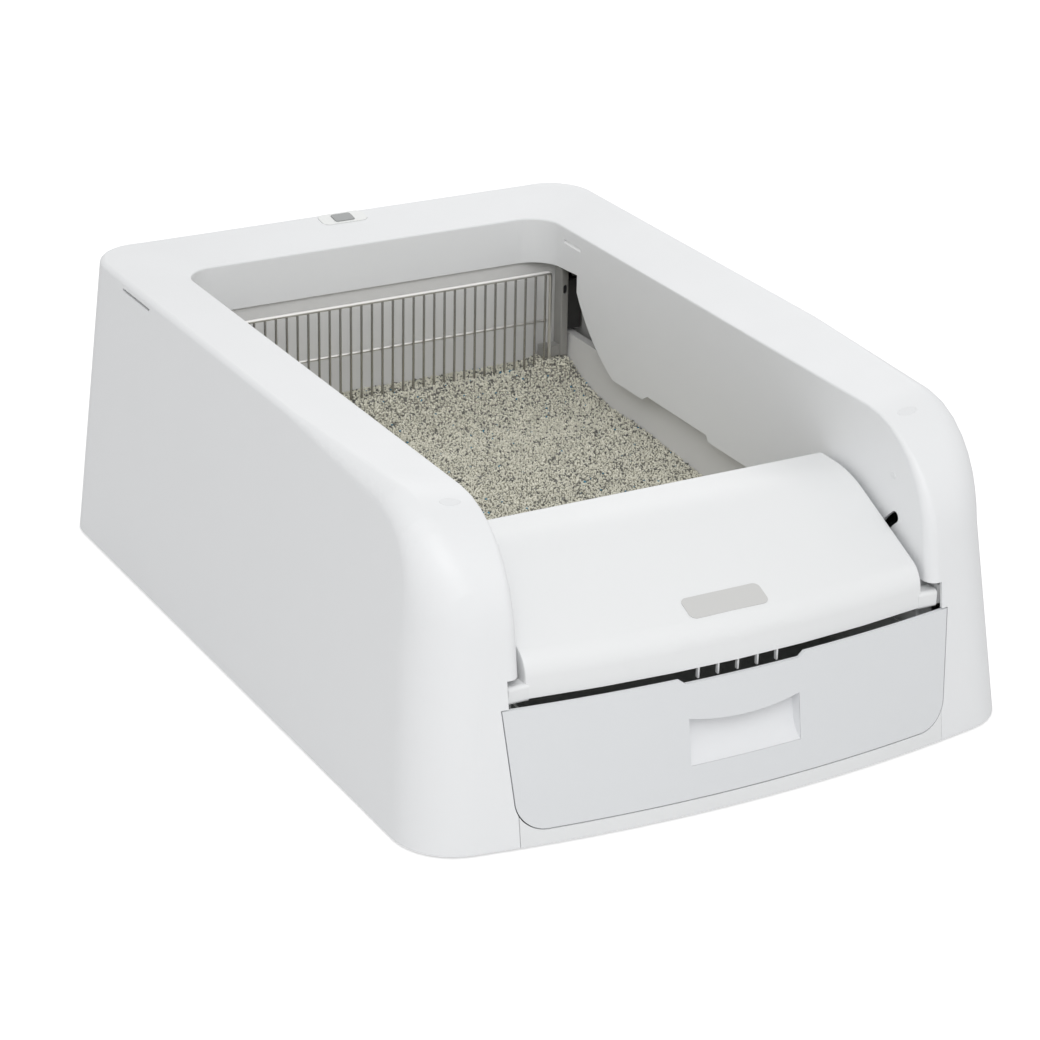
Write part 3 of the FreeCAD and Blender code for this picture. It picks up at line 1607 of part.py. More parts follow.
axle_start = s.rail_place - 2
axle = fuse("axle", [
    rod("axle_pin", "x", (axle_start, s.idler_place, s.shaft_level), s.shaft_radius,
        shaft_half - axle_start),
    rod("axle_head", "x", (shaft_half, s.idler_place, s.shaft_level), s.shaft_radius + 2, 1),
])
keep(both_sides("axles", axle), "idler_axles")

# Gear motor behind the tray

gear_radius = s.gear_module * s.gear_teeth / 2
pinion_radius = s.gear_module * s.pinion_teeth / 2
tooth_height = 0.8 * s.gear_module
tooth_depth = 2.1 * s.gear_module
tooth_space = (2.7 * s.gear_module, 1.3 * s.gear_module)
pinion_space = (3.0 * s.gear_module, 1.0 * s.gear_module)
gear_start = s.gear_place - s.gear_width / 2
keep(toothed(
    "driven_gear", (gear_start, s.shaft_place, s.shaft_level), gear_radius + tooth_height,
    tooth_depth, tooth_space, s.gear_teeth, s.gear_width, s.shaft_radius,
), "driven_gear")
centre_distance = gear_radius + pinion_radius + 0.1
mesh_angle = 360 / s.gear_teeth
pinion_y = s.shaft_place + centre_distance * sine(mesh_angle)
pinion_z = s.shaft_level - centre_distance * cosine(mesh_angle)
pinion = toothed(
    "motor_pinion", (gear_start, pinion_y, pinion_z), pinion_radius + tooth_height, tooth_depth,
    pinion_space, s.pinion_teeth, s.gear_width, s.pinion_shaft,
)
tooth_turn = mesh_angle - 180 / s.pinion_teeth
pinion.setExpression("Placement.Rotation.Axis.x", "1")
pinion.setExpression("Placement.Rotation.Axis.z", "0")
pinion.setExpression("Placement.Rotation.Angle", tooth_turn.text)
keep(pinion, "motor_pinion")
keep(rod("pinion_shaft", "x", (gear_start - 1, pinion_y, pinion_z), s.pinion_shaft,
         s.gear_width + s.mount_plate + 8), "pinion_shaft")
mount_start = gear_start + s.gear_width + 1
gearbox_start = mount_start + s.mount_plate
gearbox_y = pinion_y + s.gearbox_offset / 2
gearbox_z = pinion_z - s.gearbox_offset
stub_hole = rod(
    "stub_hole", "x", (mount_start - 1, pinion_y, pinion_z), s.pinion_shaft + s.run_gap,
    s.mount_plate + 9,
)
mount_screws = [
    rod(f"mount_screw_{number}", "x",
        (mount_start - 0.8, gearbox_y + side * 0.72 * s.gearbox_radius, gearbox_z - 3), 1.5, 9)
    for number, side in enumerate((-1, 1))
]
gearbox = cut(
    "gearbox_cut",
    rod("gearbox_can", "x", (gearbox_start, gearbox_y, gearbox_z), s.gearbox_radius,
        s.gearbox_length),
    [stub_hole, *mount_screws],
)
keep(gearbox, "gearbox")
motor_start = gearbox_start + s.gearbox_length
motor_can = rod(
    "motor_can", "x", (motor_start, gearbox_y, gearbox_z), s.motor_radius, s.motor_length,
)
motor_end = rod(
    "motor_end", "x", (motor_start + s.motor_length, gearbox_y, gearbox_z),
    s.motor_radius * 0.4, 3,
)
keep(fuse("motor_form", [motor_can, motor_end]), "motor")
mount_half = s.gearbox_radius + 3
mount_form = fuse("mount_form", [
    box("mount_plate", (mount_start, gearbox_start),
        (gearbox_y - mount_half, gearbox_y + mount_half),
        (plate_top, gearbox_z + s.gearbox_radius)),
    box("mount_foot", (mount_start, gearbox_start + s.gearbox_length),
        (gearbox_y - mount_half, gearbox_y + mount_half), (plate_top, plate_top + 3)),
    *[
        prism(
            f"mount_gusset_{number}", "XZ",
            (gearbox_y + side * mount_half - 1.25 - side * 1.25,
             gearbox_y + side * mount_half + 1.25 - side * 1.25),
            [
                (gearbox_start, plate_top), (gearbox_start + s.gearbox_length, plate_top),
                (gearbox_start, gearbox_z - s.gearbox_radius),
            ],
        )
        for number, side in enumerate((-1, 1))
    ],
])
keep(cut("mount_cut", mount_form, [
    rod("mount_hole", "x", (mount_start - 1, pinion_y, pinion_z), s.pinion_shaft + 1.5, 9),
    *mount_screws,
]), "motor_mount")
keep(group("gearbox_screws", mount_screws), "gearbox_screws")

# Waste lid: a bowed cover hinged at its front lip

BOW_STEPS = 3

lean = tangent(s.lid_front_lean)
lean_sine = sine(s.lid_front_lean)
lean_cosine = cosine(s.lid_front_lean)


def lid_slope(bow):
    """Rise of the lid's front slope where the front is bowed out by a distance."""
    return (s.lid_top - s.lid_shoulder) / (s.lid_crest - s.lid_front + bow)


def lid_section(name, across, bow, inset, drop, crisp=False):
    """Side view of the lid at a distance across, moved inward by an inset.

    A crisp section has straight cuts in place of roundings.
    """
    slope = lid_slope(bow)
    secant = root(slope * slope + 1)
    fall = (slope / secant, 1 / secant)
    top = s.lid_top - inset
    rear = s.lid_rear - inset
    crest = s.lid_crest + inset * (secant - 1) / slope
    crest_radius = s.lid_crest_rounding - inset
    crest_reach = crest_radius * (secant - 1) / slope
    front = s.lid_front - bow + inset / lean_cosine - s.lid_foot * lean
    rise = s.lid_top - s.lid_crest * slope - inset * secant
    lip_y = (front + lean * rise) / (1 - lean * slope)
    lip_z = rise + slope * lip_y
    turn_sine = fall[1] * lean_cosine - fall[0] * lean_sine
    turn_cosine = fall[0] * lean_cosine + fall[1] * lean_sine
    lip_radius = s.lid_lip_rounding - inset
    lip_reach = lip_radius * turn_sine / (1 + turn_cosine)
    round_rear = s.lid_rear_rounding - inset
    foot = s.lid_foot - drop
    points = [
        (rear, s.lid_skirt_rear - drop), (rear, top - round_rear), (rear - round_rear, top),
        (crest + crest_reach, top), (crest - crest_reach * fall[1], top - crest_reach * fall[0]),
        (lip_y + lip_reach * fall[1], lip_z + lip_reach * fall[0]),
        (lip_y - lip_reach * lean_sine, lip_z - lip_reach * lean_cosine),
        (front + foot * lean, foot), (s.lid_knee, foot),
    ]
    if crisp:
        points[1:3] = [(rear, top)]
        arcs = {}
    else:
        arcs = {1: (round_rear, 1), 3: (crest_radius, 1), 5: (lip_radius, 1)}
    return flat_sketch(name, "YZ", across, points, arcs)


def lid_form(name, half, inset, drop, crisp=False):
    """The lid's bowed form between two sides."""
    steps = 1 if crisp else BOW_STEPS
    shares = [step / steps for step in range(-steps, steps + 1)]
    item = loft(name, [
        lid_section(
            f"{name}_{number}", half * share, s.lid_bow * (1 - share * share), inset, drop,
            crisp,
        )
        for number, share in enumerate(shares)
    ])
    item.Ruled = not crisp
    return item


def lid_end(name):
    """Right end of the lid, whose edge rounding is stepped through three sections."""
    steps = [
        s.lid_side_rounding * (1 - math.cos(math.radians(angle))) for angle in (90, 45, 0)
    ]
    sinks = [
        s.lid_side_rounding * (1 - math.sin(math.radians(angle))) for angle in (90, 45, 0)
    ]
    return loft(name, [
        lid_section(f"{name}_{number}", s.lid_half - step, 0, sink, 0)
        for number, (step, sink) in enumerate(zip(steps, sinks))
    ])


ear_inner = s.lid_half - s.lid_wall
ear_outer = opening_half + s.hinge_notch_depth - 6.4
ear_y = (s.hinge_place - tab_half, s.hinge_place + tab_half)
ear_z = (s.hinge_level - tab_half, s.hinge_level + tab_half)
ear_block = box("ear_block", (ear_inner, ear_outer), ear_y, ear_z)
ear = rounded("ear", ear_block, s.ear_rounding, lambda a, b: abs(a.x - b.x) > 9)
lid_flank = s.lid_half - s.lid_side_rounding
lid_middle = cut("lid_middle", lid_form("lid_blank", lid_flank, 0, 0), [
    lid_form("lid_hollow", s.lid_half - s.lid_wall, s.lid_wall, 30, crisp=True),
])
lid_shell = fuse("lid_shell", [lid_middle, both_sides("lid_ends", lid_end("lid_end"))])
lid_middle.Refine = False
lid_shell.Refine = False
comb = [
    box(f"comb_{step}", (step * s.lid_rib_pitch - s.comb_half, step * s.lid_rib_pitch + s.comb_half),
        (s.lid_front - s.lid_bow + 0.8, s.lid_front - s.lid_bow + 3.6),
        (s.lid_foot - s.comb_drop, s.lid_foot + 3))
    for step in (-2, -1, 0, 1, 2)
]
lid_ribs = [
    common(
        f"lid_rib_{number}",
        box(f"lid_rib_slab_{number}", (place - 1, place + 1), (s.lid_front + 12, s.lid_rear - 1),
            (s.lid_foot, s.lid_top)),
        lid_form(f"lid_rib_form_{number}", s.lid_half - 2 * s.lid_wall, s.lid_wall / 2, -8),
    )
    for number, place in enumerate((-s.lid_half / 2, s.lid_half / 2))
]
plate_slope = lid_slope(s.lid_bow)
plate_rise = s.lid_top + (s.plate_blank_place - s.lid_crest) * plate_slope


def on_lid_slope(item):
    """Move a plate made around the origin onto the lid's front slope."""
    item.setExpression("Placement.Rotation.Axis.x", "1")
    item.setExpression("Placement.Rotation.Axis.z", "0")
    item.setExpression("Placement.Rotation.Angle", f"atan({plate_slope.text})")
    return place(item, (0, s.plate_blank_place, plate_rise))


lid_plate = on_lid_slope(round_plate(
    "lid_plate", s.plate_blank_width, s.plate_blank_height, s.plate_blank_height / 4,
    (s.plate_blank_proud - s.plate_blank_thickness, s.plate_blank_proud),
))
ears = both_sides("ears", ear)
hinge_pin_start = ear_inner - 4
hinge_pin_length = ear_outer + s.hinge_pin_reach - hinge_pin_start


def lid_pin(name, spot, radius, start, length):
    return both_sides(f"{name}_pair", rod(name, "x", (start, *spot), radius, length))


hinge_spot = (s.hinge_place, s.hinge_level)
stop_spot = around_hinge(s.stop_pin_reach, s.stop_pin_angle)
stop_start = ear_inner - 3
stop_length = opening_half + s.shell_wall + 4 - stop_start
hinge_pins = lid_pin("hinge_pin", hinge_spot, s.hinge_pin_radius, hinge_pin_start,
                     hinge_pin_length)
stop_pins = lid_pin("stop_pin", stop_spot, s.stop_pin_radius, stop_start, stop_length)
pin_bosses = lid_pin("pin_boss", stop_spot, s.stop_pin_radius + 2, stop_start,
                     s.lid_wall + 3)
lid_fuse = fuse("lid_fuse", [lid_shell, ears, pin_bosses, *comb, *lid_ribs])
lid_fuse.Refine = False
lid_cut = cut("lid_cut", lid_fuse, [hinge_pins, stop_pins, lid_plate])
lid_cut.Refine = False
keep(lid_cut, "waste_lid")
keep(lid_plate, "lid_plate")
keep(hinge_pins, "lid_hinge_pins")
keep(stop_pins, "lid_stop_pins")

notch_rear = s.hinge_place + tab_half + 2.4
hinge_side = opening_half + s.hinge_notch_depth - 4
saddle_rear = notch_rear + s.saddle_wall + 0.6
saddle = cut(
    "saddle",
    fuse("saddle_form", [
        box("saddle_side", (hinge_side, hinge_side + s.saddle_width),
            (s.hinge_place - 4.2, saddle_rear), (s.drawer_top + 2, s.hinge_level + 9)),
        box("saddle_back", (opening_half + s.shell_wall, hinge_side + s.saddle_width),
            (notch_rear + 0.6, saddle_rear), (s.drawer_top - 30, notch_top + 3)),
        box("saddle_top", (opening_half + s.shell_wall, hinge_side + s.saddle_width),
            (s.hinge_place + 1, saddle_rear), (notch_top + 0.4, notch_top + 3)),
    ]),
    [rod("saddle_bore", "x", (hinge_side - 1, *hinge_spot), s.hinge_pin_radius + s.run_gap,
         s.hinge_pin_reach + 3)],
)
keep(saddle, "hinge_saddle_right")
keep(mirror("saddle_left", saddle), "hinge_saddle_left")

# Waste drawer: a bowed front with a handle recess, and the bin behind it

drawer_bounds = (front_end - 30, s.hinge_place + 40)
skin_slab = front_slab(
    "skin_slab", (s.drawer_foot - 9, s.drawer_top + 9), half_width - 50, 0, s.drawer_skin,
)
rim_slab = front_slab(
    "rim_slab", (s.drawer_foot - 9, s.drawer_top + 9), half_width - 50, s.drawer_skin / 2,
    s.drawer_rim + s.drawer_skin / 2,
)
rim_ring = cut(
    "rim_ring", drawer_outline("rim_outside", 0, drawer_bounds),
    [
        drawer_outline("rim_inside", -s.drawer_wall, drawer_bounds),
        box("rim_top_cut", (-half_width, half_width), drawer_bounds,
            (s.rim_height, s.drawer_top + 9)),
    ],
)
drawer_blank = fuse("drawer_blank", [
    common("drawer_skin", drawer_outline("skin_outline", 0, drawer_bounds), skin_slab),
    common("drawer_rim", rim_ring, rim_slab),
])
scoop = prism(
    "scoop", "XZ", drawer_bounds,
    [
        (-s.scoop_half, s.drawer_top - s.scoop_depth), (s.scoop_half, s.drawer_top - s.scoop_depth),
        (s.scoop_half + 6, s.drawer_top + 1), (-s.scoop_half - 6, s.drawer_top + 1),
    ],
)
sag_radius = (s.handle_half * s.handle_half + s.handle_sag * s.handle_sag) / (2 * s.handle_sag)
handle_hole = prism(
    "handle_hole", "XZ", drawer_bounds,
    [
        (-s.handle_half, s.handle_foot), (s.handle_half, s.handle_foot),
        (s.handle_half, s.handle_top), (-s.handle_half, s.handle_top),
    ],
    {2: (sag_radius, -1)},
)
keep(cut("drawer_cut", drawer_blank, [scoop, handle_hole]), "drawer_front")


def cup_side(name, x, wall):
    """Side view of the handle recess as a prism, grown by a wall."""
    foot = s.handle_foot - wall
    top = s.handle_top + s.cup_head + wall
    back = front_middle(s.handle_foot) + s.handle_depth + wall
    run = back - front_middle(s.handle_foot) - 1
    knee = s.handle_foot + s.cup_rise
    return prism(
        name, "YZ", x,
        [
            (back - run - 9, foot), (back - run, foot), (back, knee - wall / 2), (back, top),
            (back - run - 9, top),
        ],
        {1: (s.cup_round, 1)},
    )


cup_wall = s.bin_wall
front_trim = front_slab(
    "cup_trim", (s.drawer_foot, s.drawer_top), half_width - 50, -30, s.drawer_skin + 30,
)
cup_half = s.handle_half + 0.6
cup = cut(
    "cup", cup_side("cup_outer", (-cup_half - cup_wall, cup_half + cup_wall), cup_wall),
    [cup_side("cup_inner", (-cup_half, cup_half), 0), front_trim],
)
keep(cup, "handle_cup")

bin_inset = s.drawer_skin + s.drawer_rim


def bin_section(name, level, inset):
    """Horizontal section of the bin with its bowed front."""
    half = s.bin_half - inset
    front = bow_edge(level, half, bin_inset + inset)
    rear = s.bin_rear - inset
    corner = s.bin_corner - inset
    points = [
        (-half, front), (half, front), (half, rear - corner), (half - corner, rear),
        (-half + corner, rear), (-half, rear - corner),
    ]
    arcs = {0: (s.front_bow, 1), 2: (corner, 1), 4: (corner, 1)}
    return flat_sketch(name, "XY", level, points, arcs)


def bin_form(name, levels, inset):
    return loft(name, [
        bin_section(f"{name}_{number}", level, inset) for number, level in enumerate(levels)
    ])


bin_foot = s.rail_top + 0.3
keep(cut(
    "bin_cut", bin_form("bin_outer", (bin_foot, s.bin_top), 0),
    [bin_form("bin_inner", (bin_foot + s.bin_wall, s.bin_top + 5), s.bin_wall)],
), "waste_bin")

# Button with its plate on the rear rim, circuit board and power inlet

def plate_hole(name, margin, bounds):
    return round_plate(
        name, s.button_width + margin, s.button_depth + margin, s.button_corner + margin / 2,
        bounds,
    )


bezel = cut(
    "bezel",
    round_plate("bezel_form", s.bezel_width, s.bezel_depth, bezel_corner,
                (0.4 - s.bezel_thickness, 0.4)),
    [plate_hole("bezel_hole", 0.6, (-9, 9))],
)
keep(on_rear_rim(bezel), "control_plate")
button = fuse("button_form", [
    plate_hole("button_cap", 0, (-s.button_height, s.button_proud)),
    plate_hole("button_flange", 2.4, (-s.button_height - 2, -s.button_height)),
    rod("button_stem", "z", (0, 0, -s.button_height - s.stem_length), 2.5,
        s.stem_length),
])
keep(on_rear_rim(button), "control_button")

board_y = (s.bezel_place - s.board_depth + 7, s.bezel_place + 7)
board = box(
    "board", (-s.board_width / 2, s.board_width / 2), board_y,
    (s.board_level, s.board_level + s.board_thickness),
)
keep(board, "circuit_board")
board_top = s.board_level + s.board_thickness
switch = fuse("switch_form", [
    box("switch_body", (-3, 3), (s.switch_place - 3, s.switch_place + 3),
        (board_top, board_top + 3.5)),
    rod("switch_plunger", "z", (0, s.switch_place, board_top + 3.5), 1.7, 1.2),
])
keep(switch, "tact_switch")

inlet_start = inlet_rear - s.shell_wall - s.inlet_depth
inlet_barrel = fuse("inlet_barrel", [
    rod("inlet_body", "y", (s.inlet_place, inlet_start, s.inlet_level), s.inlet_radius,
        s.inlet_depth + s.shell_wall),
    rod("inlet_flange", "y", (s.inlet_place, inlet_start, s.inlet_level), s.inlet_radius + 2,
        s.inlet_depth - 1),
])
inlet = fuse("inlet", [
    cut("inlet_socket", inlet_barrel, [
        rod("inlet_bore", "y", (s.inlet_place, inlet_start + 2, s.inlet_level), s.inlet_bore, 30),
    ]),
    rod("inlet_pin", "y", (s.inlet_place, inlet_start + 1, s.inlet_level), 1,
        s.inlet_depth - 2),
])
keep(inlet, "power_inlet")

# Output

doc.recompute()
faults = [
    item.Name for item in doc.Objects
    if "Invalid" in item.State or "Error" in item.State
]
for piece in pieces:
    if piece.Shape.isNull() or not piece.Shape.isValid():
        faults.append(piece.Label)
if faults:
    raise RuntimeError("faulty: " + ", ".join(faults))
for piece in pieces:
    piece.Shape.exportStep(f"parts/{piece.Label}.step")
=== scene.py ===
import math

import bmesh
import bpy
import numpy as np
from mathutils import Matrix, Vector
from mathutils.bvhtree import BVHTree


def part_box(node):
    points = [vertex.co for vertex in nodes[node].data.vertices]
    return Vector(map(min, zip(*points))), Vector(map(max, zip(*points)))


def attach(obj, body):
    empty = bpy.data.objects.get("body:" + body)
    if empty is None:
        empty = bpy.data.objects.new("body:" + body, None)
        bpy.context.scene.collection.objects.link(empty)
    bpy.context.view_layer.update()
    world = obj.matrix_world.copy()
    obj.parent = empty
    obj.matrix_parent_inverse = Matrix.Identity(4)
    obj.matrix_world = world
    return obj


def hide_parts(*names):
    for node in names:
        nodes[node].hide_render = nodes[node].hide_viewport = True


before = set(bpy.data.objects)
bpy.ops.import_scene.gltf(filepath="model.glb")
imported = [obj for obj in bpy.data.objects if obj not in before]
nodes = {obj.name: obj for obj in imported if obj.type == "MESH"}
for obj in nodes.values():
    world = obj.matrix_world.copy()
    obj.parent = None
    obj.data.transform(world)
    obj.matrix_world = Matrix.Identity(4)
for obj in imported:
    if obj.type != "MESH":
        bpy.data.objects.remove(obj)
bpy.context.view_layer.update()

# Self-cleaning litter box: finishes, loose litter, wires, studio and camera.
# Lengths are in metres, in the frame of the solids.

MM = 0.001


# Shader groups

def shader_group(name, inputs, outputs):
    """New group with named sockets. Returns the group and its two end nodes."""
    group = bpy.data.node_groups.new(name, "ShaderNodeTree")
    for label, kind, value in inputs:
        socket = group.interface.new_socket(label, in_out="INPUT", socket_type=kind)
        socket.default_value = value
    for label, kind in outputs:
        group.interface.new_socket(label, in_out="OUTPUT", socket_type=kind)
    return group, group.nodes.new("NodeGroupInput"), group.nodes.new("NodeGroupOutput")


def join(tree, start, end):
    """Link from an output to an input."""
    tree.links.new(start, end)


def add(tree, kind, **settings):
    """New node with its settings and the values of its inputs."""
    node = tree.nodes.new(kind)
    for name, value in settings.pop("inputs", {}).items():
        node.inputs[name].default_value = value
    for name, value in settings.items():
        setattr(node, name, value)
    return node


def math_node(tree, operation, first, second):
    """Output of a math node; its inputs are numbers or outputs of other nodes."""
    node = add(tree, "ShaderNodeMath", operation=operation)
    for socket, value in zip(node.inputs, (first, second)):
        if isinstance(value, (int, float)):
            socket.default_value = value
        else:
            join(tree, value, socket)
    return node.outputs[0]


def tone_group():
    """Uneven tone of a moulded or painted surface, from the body of the piece."""
    group, start, end = shader_group(
        "surface_tone",
        [
            ("Colour", "NodeSocketColor", (0.8, 0.8, 0.8, 1)),
            ("Second Colour", "NodeSocketColor", (0.7, 0.7, 0.7, 1)),
            ("Scale", "NodeSocketFloat", 12.0),
            ("Amount", "NodeSocketFloat", 0.3),
        ],
        [("Colour", "NodeSocketColor")],
    )
    place = add(group, "ShaderNodeTexCoord")
    clouds = add(group, "ShaderNodeTexNoise", inputs={"Detail": 3.0, "Roughness": 0.55})
    join(group, place.outputs["Object"], clouds.inputs["Vector"])
    join(group, start.outputs["Scale"], clouds.inputs["Scale"])
    mask = math_node(group, "MULTIPLY", clouds.outputs["Fac"], start.outputs["Amount"])
    mix = add(group, "ShaderNodeMix", data_type="RGBA")
    join(group, mask, mix.inputs["Factor"])
    join(group, start.outputs["Colour"], mix.inputs["A"])
    join(group, start.outputs["Second Colour"], mix.inputs["B"])
    join(group, mix.outputs["Result"], end.inputs["Colour"])
    return group


def grain_group():
    """Fine spark-eroded texture of a mould, with slow waves under it."""
    group, start, end = shader_group(
        "mould_grain",
        [
            ("Grain Scale", "NodeSocketFloat", 1400.0),
            ("Wave Scale", "NodeSocketFloat", 30.0),
            ("Wave Share", "NodeSocketFloat", 0.4),
            ("Roughness", "NodeSocketFloat", 0.4),
            ("Roughness Spread", "NodeSocketFloat", 0.08),
        ],
        [("Height", "NodeSocketFloat"), ("Roughness", "NodeSocketFloat")],
    )
    place = add(group, "ShaderNodeTexCoord")
    grain = add(group, "ShaderNodeTexNoise", inputs={"Detail": 2.0, "Roughness": 0.6})
    wave = add(group, "ShaderNodeTexNoise", inputs={"Detail": 1.0, "Roughness": 0.5})
    for texture, scale in ((grain, "Grain Scale"), (wave, "Wave Scale")):
        join(group, place.outputs["Object"], texture.inputs["Vector"])
        join(group, start.outputs[scale], texture.inputs["Scale"])
    wave_height = math_node(
        group, "MULTIPLY", wave.outputs["Fac"], start.outputs["Wave Share"]
    )
    height = math_node(group, "ADD", grain.outputs["Fac"], wave_height)
    spread = math_node(
        group, "MULTIPLY", math_node(group, "SUBTRACT", wave.outputs["Fac"], 0.5),
        start.outputs["Roughness Spread"],
    )
    rough = math_node(group, "ADD", start.outputs["Roughness"], spread)
    join(group, height, end.inputs["Height"])
    join(group, rough, end.inputs["Roughness"])
    return group


def streak_group():
    """Drawing and grinding lines that run along one axis of a metal piece."""
    group, start, end = shader_group(
        "drawn_streaks",
        [
            ("Stretch", "NodeSocketVector", (4.0, 900.0, 900.0)),
            ("Roughness", "NodeSocketFloat", 0.2),
            ("Roughness Spread", "NodeSocketFloat", 0.15),
        ],
        [("Height", "NodeSocketFloat"), ("Roughness", "NodeSocketFloat")],
    )
    place = add(group, "ShaderNodeTexCoord")
    stretch = add(group, "ShaderNodeVectorMath", operation="MULTIPLY")
    join(group, place.outputs["Object"], stretch.inputs[0])
    join(group, start.outputs["Stretch"], stretch.inputs[1])
    lines = add(group, "ShaderNodeTexNoise", inputs={"Scale": 1.0, "Detail": 2.0})
    join(group, stretch.outputs[0], lines.inputs["Vector"])
    spread = math_node(
        group, "MULTIPLY", math_node(group, "SUBTRACT", lines.outputs["Fac"], 0.5),
        start.outputs["Roughness Spread"],
    )
    join(group, lines.outputs["Fac"], end.inputs["Height"])
    join(group, math_node(group, "ADD", start.outputs["Roughness"], spread),
         end.inputs["Roughness"])
    return group


def cell_group():
    """Tone of loose grains: a cell for each, between a light and a dark colour."""
    group, start, end = shader_group(
        "grain_cells",
        [
            ("Light", "NodeSocketColor", (0.8, 0.8, 0.8, 1)),
            ("Dark", "NodeSocketColor", (0.5, 0.5, 0.5, 1)),
            ("Scale", "NodeSocketFloat", 420.0),
        ],
        [("Colour", "NodeSocketColor")],
    )
    place = add(group, "ShaderNodeTexCoord")
    cells = add(group, "ShaderNodeTexVoronoi")
    join(group, place.outputs["Object"], cells.inputs["Vector"])
    join(group, start.outputs["Scale"], cells.inputs["Scale"])
    split = add(group, "ShaderNodeSeparateColor")
    join(group, cells.outputs["Color"], split.inputs["Color"])
    mix = add(group, "ShaderNodeMix", data_type="RGBA")
    join(group, split.outputs["Red"], mix.inputs["Factor"])
    join(group, start.outputs["Light"], mix.inputs["A"])
    join(group, start.outputs["Dark"], mix.inputs["B"])
    join(group, mix.outputs["Result"], end.inputs["Colour"])
    return group


TONE = tone_group()
GRAIN = grain_group()
STREAKS = streak_group()
CELLS = cell_group()


# Materials

def new_material(name):
    """Empty material with its surface shader."""
    material = bpy.data.materials.new(name)
    material.use_nodes = True
    shader = next(n for n in material.node_tree.nodes if n.type == "BSDF_PRINCIPLED")
    return material, material.node_tree, shader


def placed(tree, group, **values):
    """Group node in a material, with its values; an underscore stands for a space."""
    node = add(tree, "ShaderNodeGroup", node_tree=group)
    for name, value in values.items():
        node.inputs[name.replace("_", " ")].default_value = value
    return node


def bumped(tree, shader, height, strength, distance):
    """Bump node between a height and the surface shader."""
    bump = add(tree, "ShaderNodeBump", inputs={"Strength": strength, "Distance": distance})
    join(tree, height, bump.inputs["Height"])
    join(tree, bump.outputs["Normal"], shader.inputs["Normal"])


def tint(colour, factor=1.0):
    """Opaque colour, with its channels made darker by a factor."""
    return tuple(channel * factor for channel in colour) + (1,)


def moulded(name, colour, roughness, grain=1400.0, depth=0.05, uneven=0.35, darker=0.94,
            clouds=9.0):
    """Moulded plastic: uneven tone, varying gloss and a fine grain."""
    material, tree, shader = new_material(name)
    tone = placed(tree, TONE, Colour=tint(colour), Second_Colour=tint(colour, darker),
                  Scale=clouds, Amount=uneven)
    texture = placed(tree, GRAIN, Grain_Scale=grain, Roughness=roughness)
    join(tree, tone.outputs["Colour"], shader.inputs["Base Color"])
    join(tree, texture.outputs["Roughness"], shader.inputs["Roughness"])
    bumped(tree, shader, texture.outputs["Height"], depth, 0.3 * MM)
    shader.inputs["Specular IOR Level"].default_value = 0.4
    return material


def metal(name, colour, roughness, stretch, depth=0.04):
    """Drawn or ground metal with fine lines."""
    material, tree, shader = new_material(name)
    tone = placed(tree, TONE, Colour=tint(colour), Second_Colour=tint(colour, 0.8),
                  Scale=60.0, Amount=0.5)
    lines = placed(tree, STREAKS, Stretch=stretch, Roughness=roughness)
    join(tree, tone.outputs["Colour"], shader.inputs["Base Color"])
    join(tree, lines.outputs["Roughness"], shader.inputs["Roughness"])
    bumped(tree, shader, lines.outputs["Height"], depth, 0.1 * MM)
    shader.inputs["Metallic"].default_value = 1.0
    return material


def object_axis(tree, axis):
    """One coordinate of the surface, in metres in the frame of the solids."""
    place = add(tree, "ShaderNodeTexCoord")
    split = add(tree, "ShaderNodeSeparateXYZ")
    join(tree, place.outputs["Object"], split.inputs["Vector"])
    return split.outputs[axis]


# Step line in the tray's walls: half its width, and its rise in heights of the grain
STEP_HALF = 0.6 * MM
STEP_RISE = 40.0


def tray_plastic(name, colour, step_level):
    """Moulded tray plastic with a shallow step line along its walls."""
    material = moulded(name, colour, 0.42, uneven=0.5, darker=0.9)
    tree = material.node_tree
    bump = next(n for n in tree.nodes if n.type == "BUMP")
    grain = bump.inputs["Height"].links[0].from_socket
    level = math_node(tree, "SUBTRACT", object_axis(tree, "Z"), step_level)
    step = add(tree, "ShaderNodeMapRange", interpolation_type="SMOOTHSTEP",
               inputs={"From Min": -STEP_HALF, "From Max": STEP_HALF, "To Max": STEP_RISE})
    join(tree, level, step.inputs["Value"])
    join(tree, math_node(tree, "ADD", grain, step.outputs["Result"]), bump.inputs["Height"])
    return material


def crank_plastic(name, colour, arm_colour, arm_start):
    """Satin crank: its plate is mid grey and its arm into the drive is dark."""
    material, tree, shader = new_material(name)
    tone = placed(tree, TONE, Colour=tint(colour), Second_Colour=tint(colour, 0.7),
                  Scale=40.0, Amount=0.8)
    outward = math_node(tree, "ABSOLUTE", object_axis(tree, "X"), 0.0)
    arm = math_node(tree, "GREATER_THAN", outward, arm_start)
    mix = add(tree, "ShaderNodeMix", data_type="RGBA")
    mix.inputs["B"].default_value = tint(arm_colour)
    join(tree, arm, mix.inputs["Factor"])
    join(tree, tone.outputs["Colour"], mix.inputs["A"])
    join(tree, mix.outputs["Result"], shader.inputs["Base Color"])
    texture = placed(tree, GRAIN, Grain_Scale=1100.0, Roughness=0.3)
    join(tree, texture.outputs["Roughness"], shader.inputs["Roughness"])
    bumped(tree, shader, texture.outputs["Height"], 0.06, 0.3 * MM)
    return material


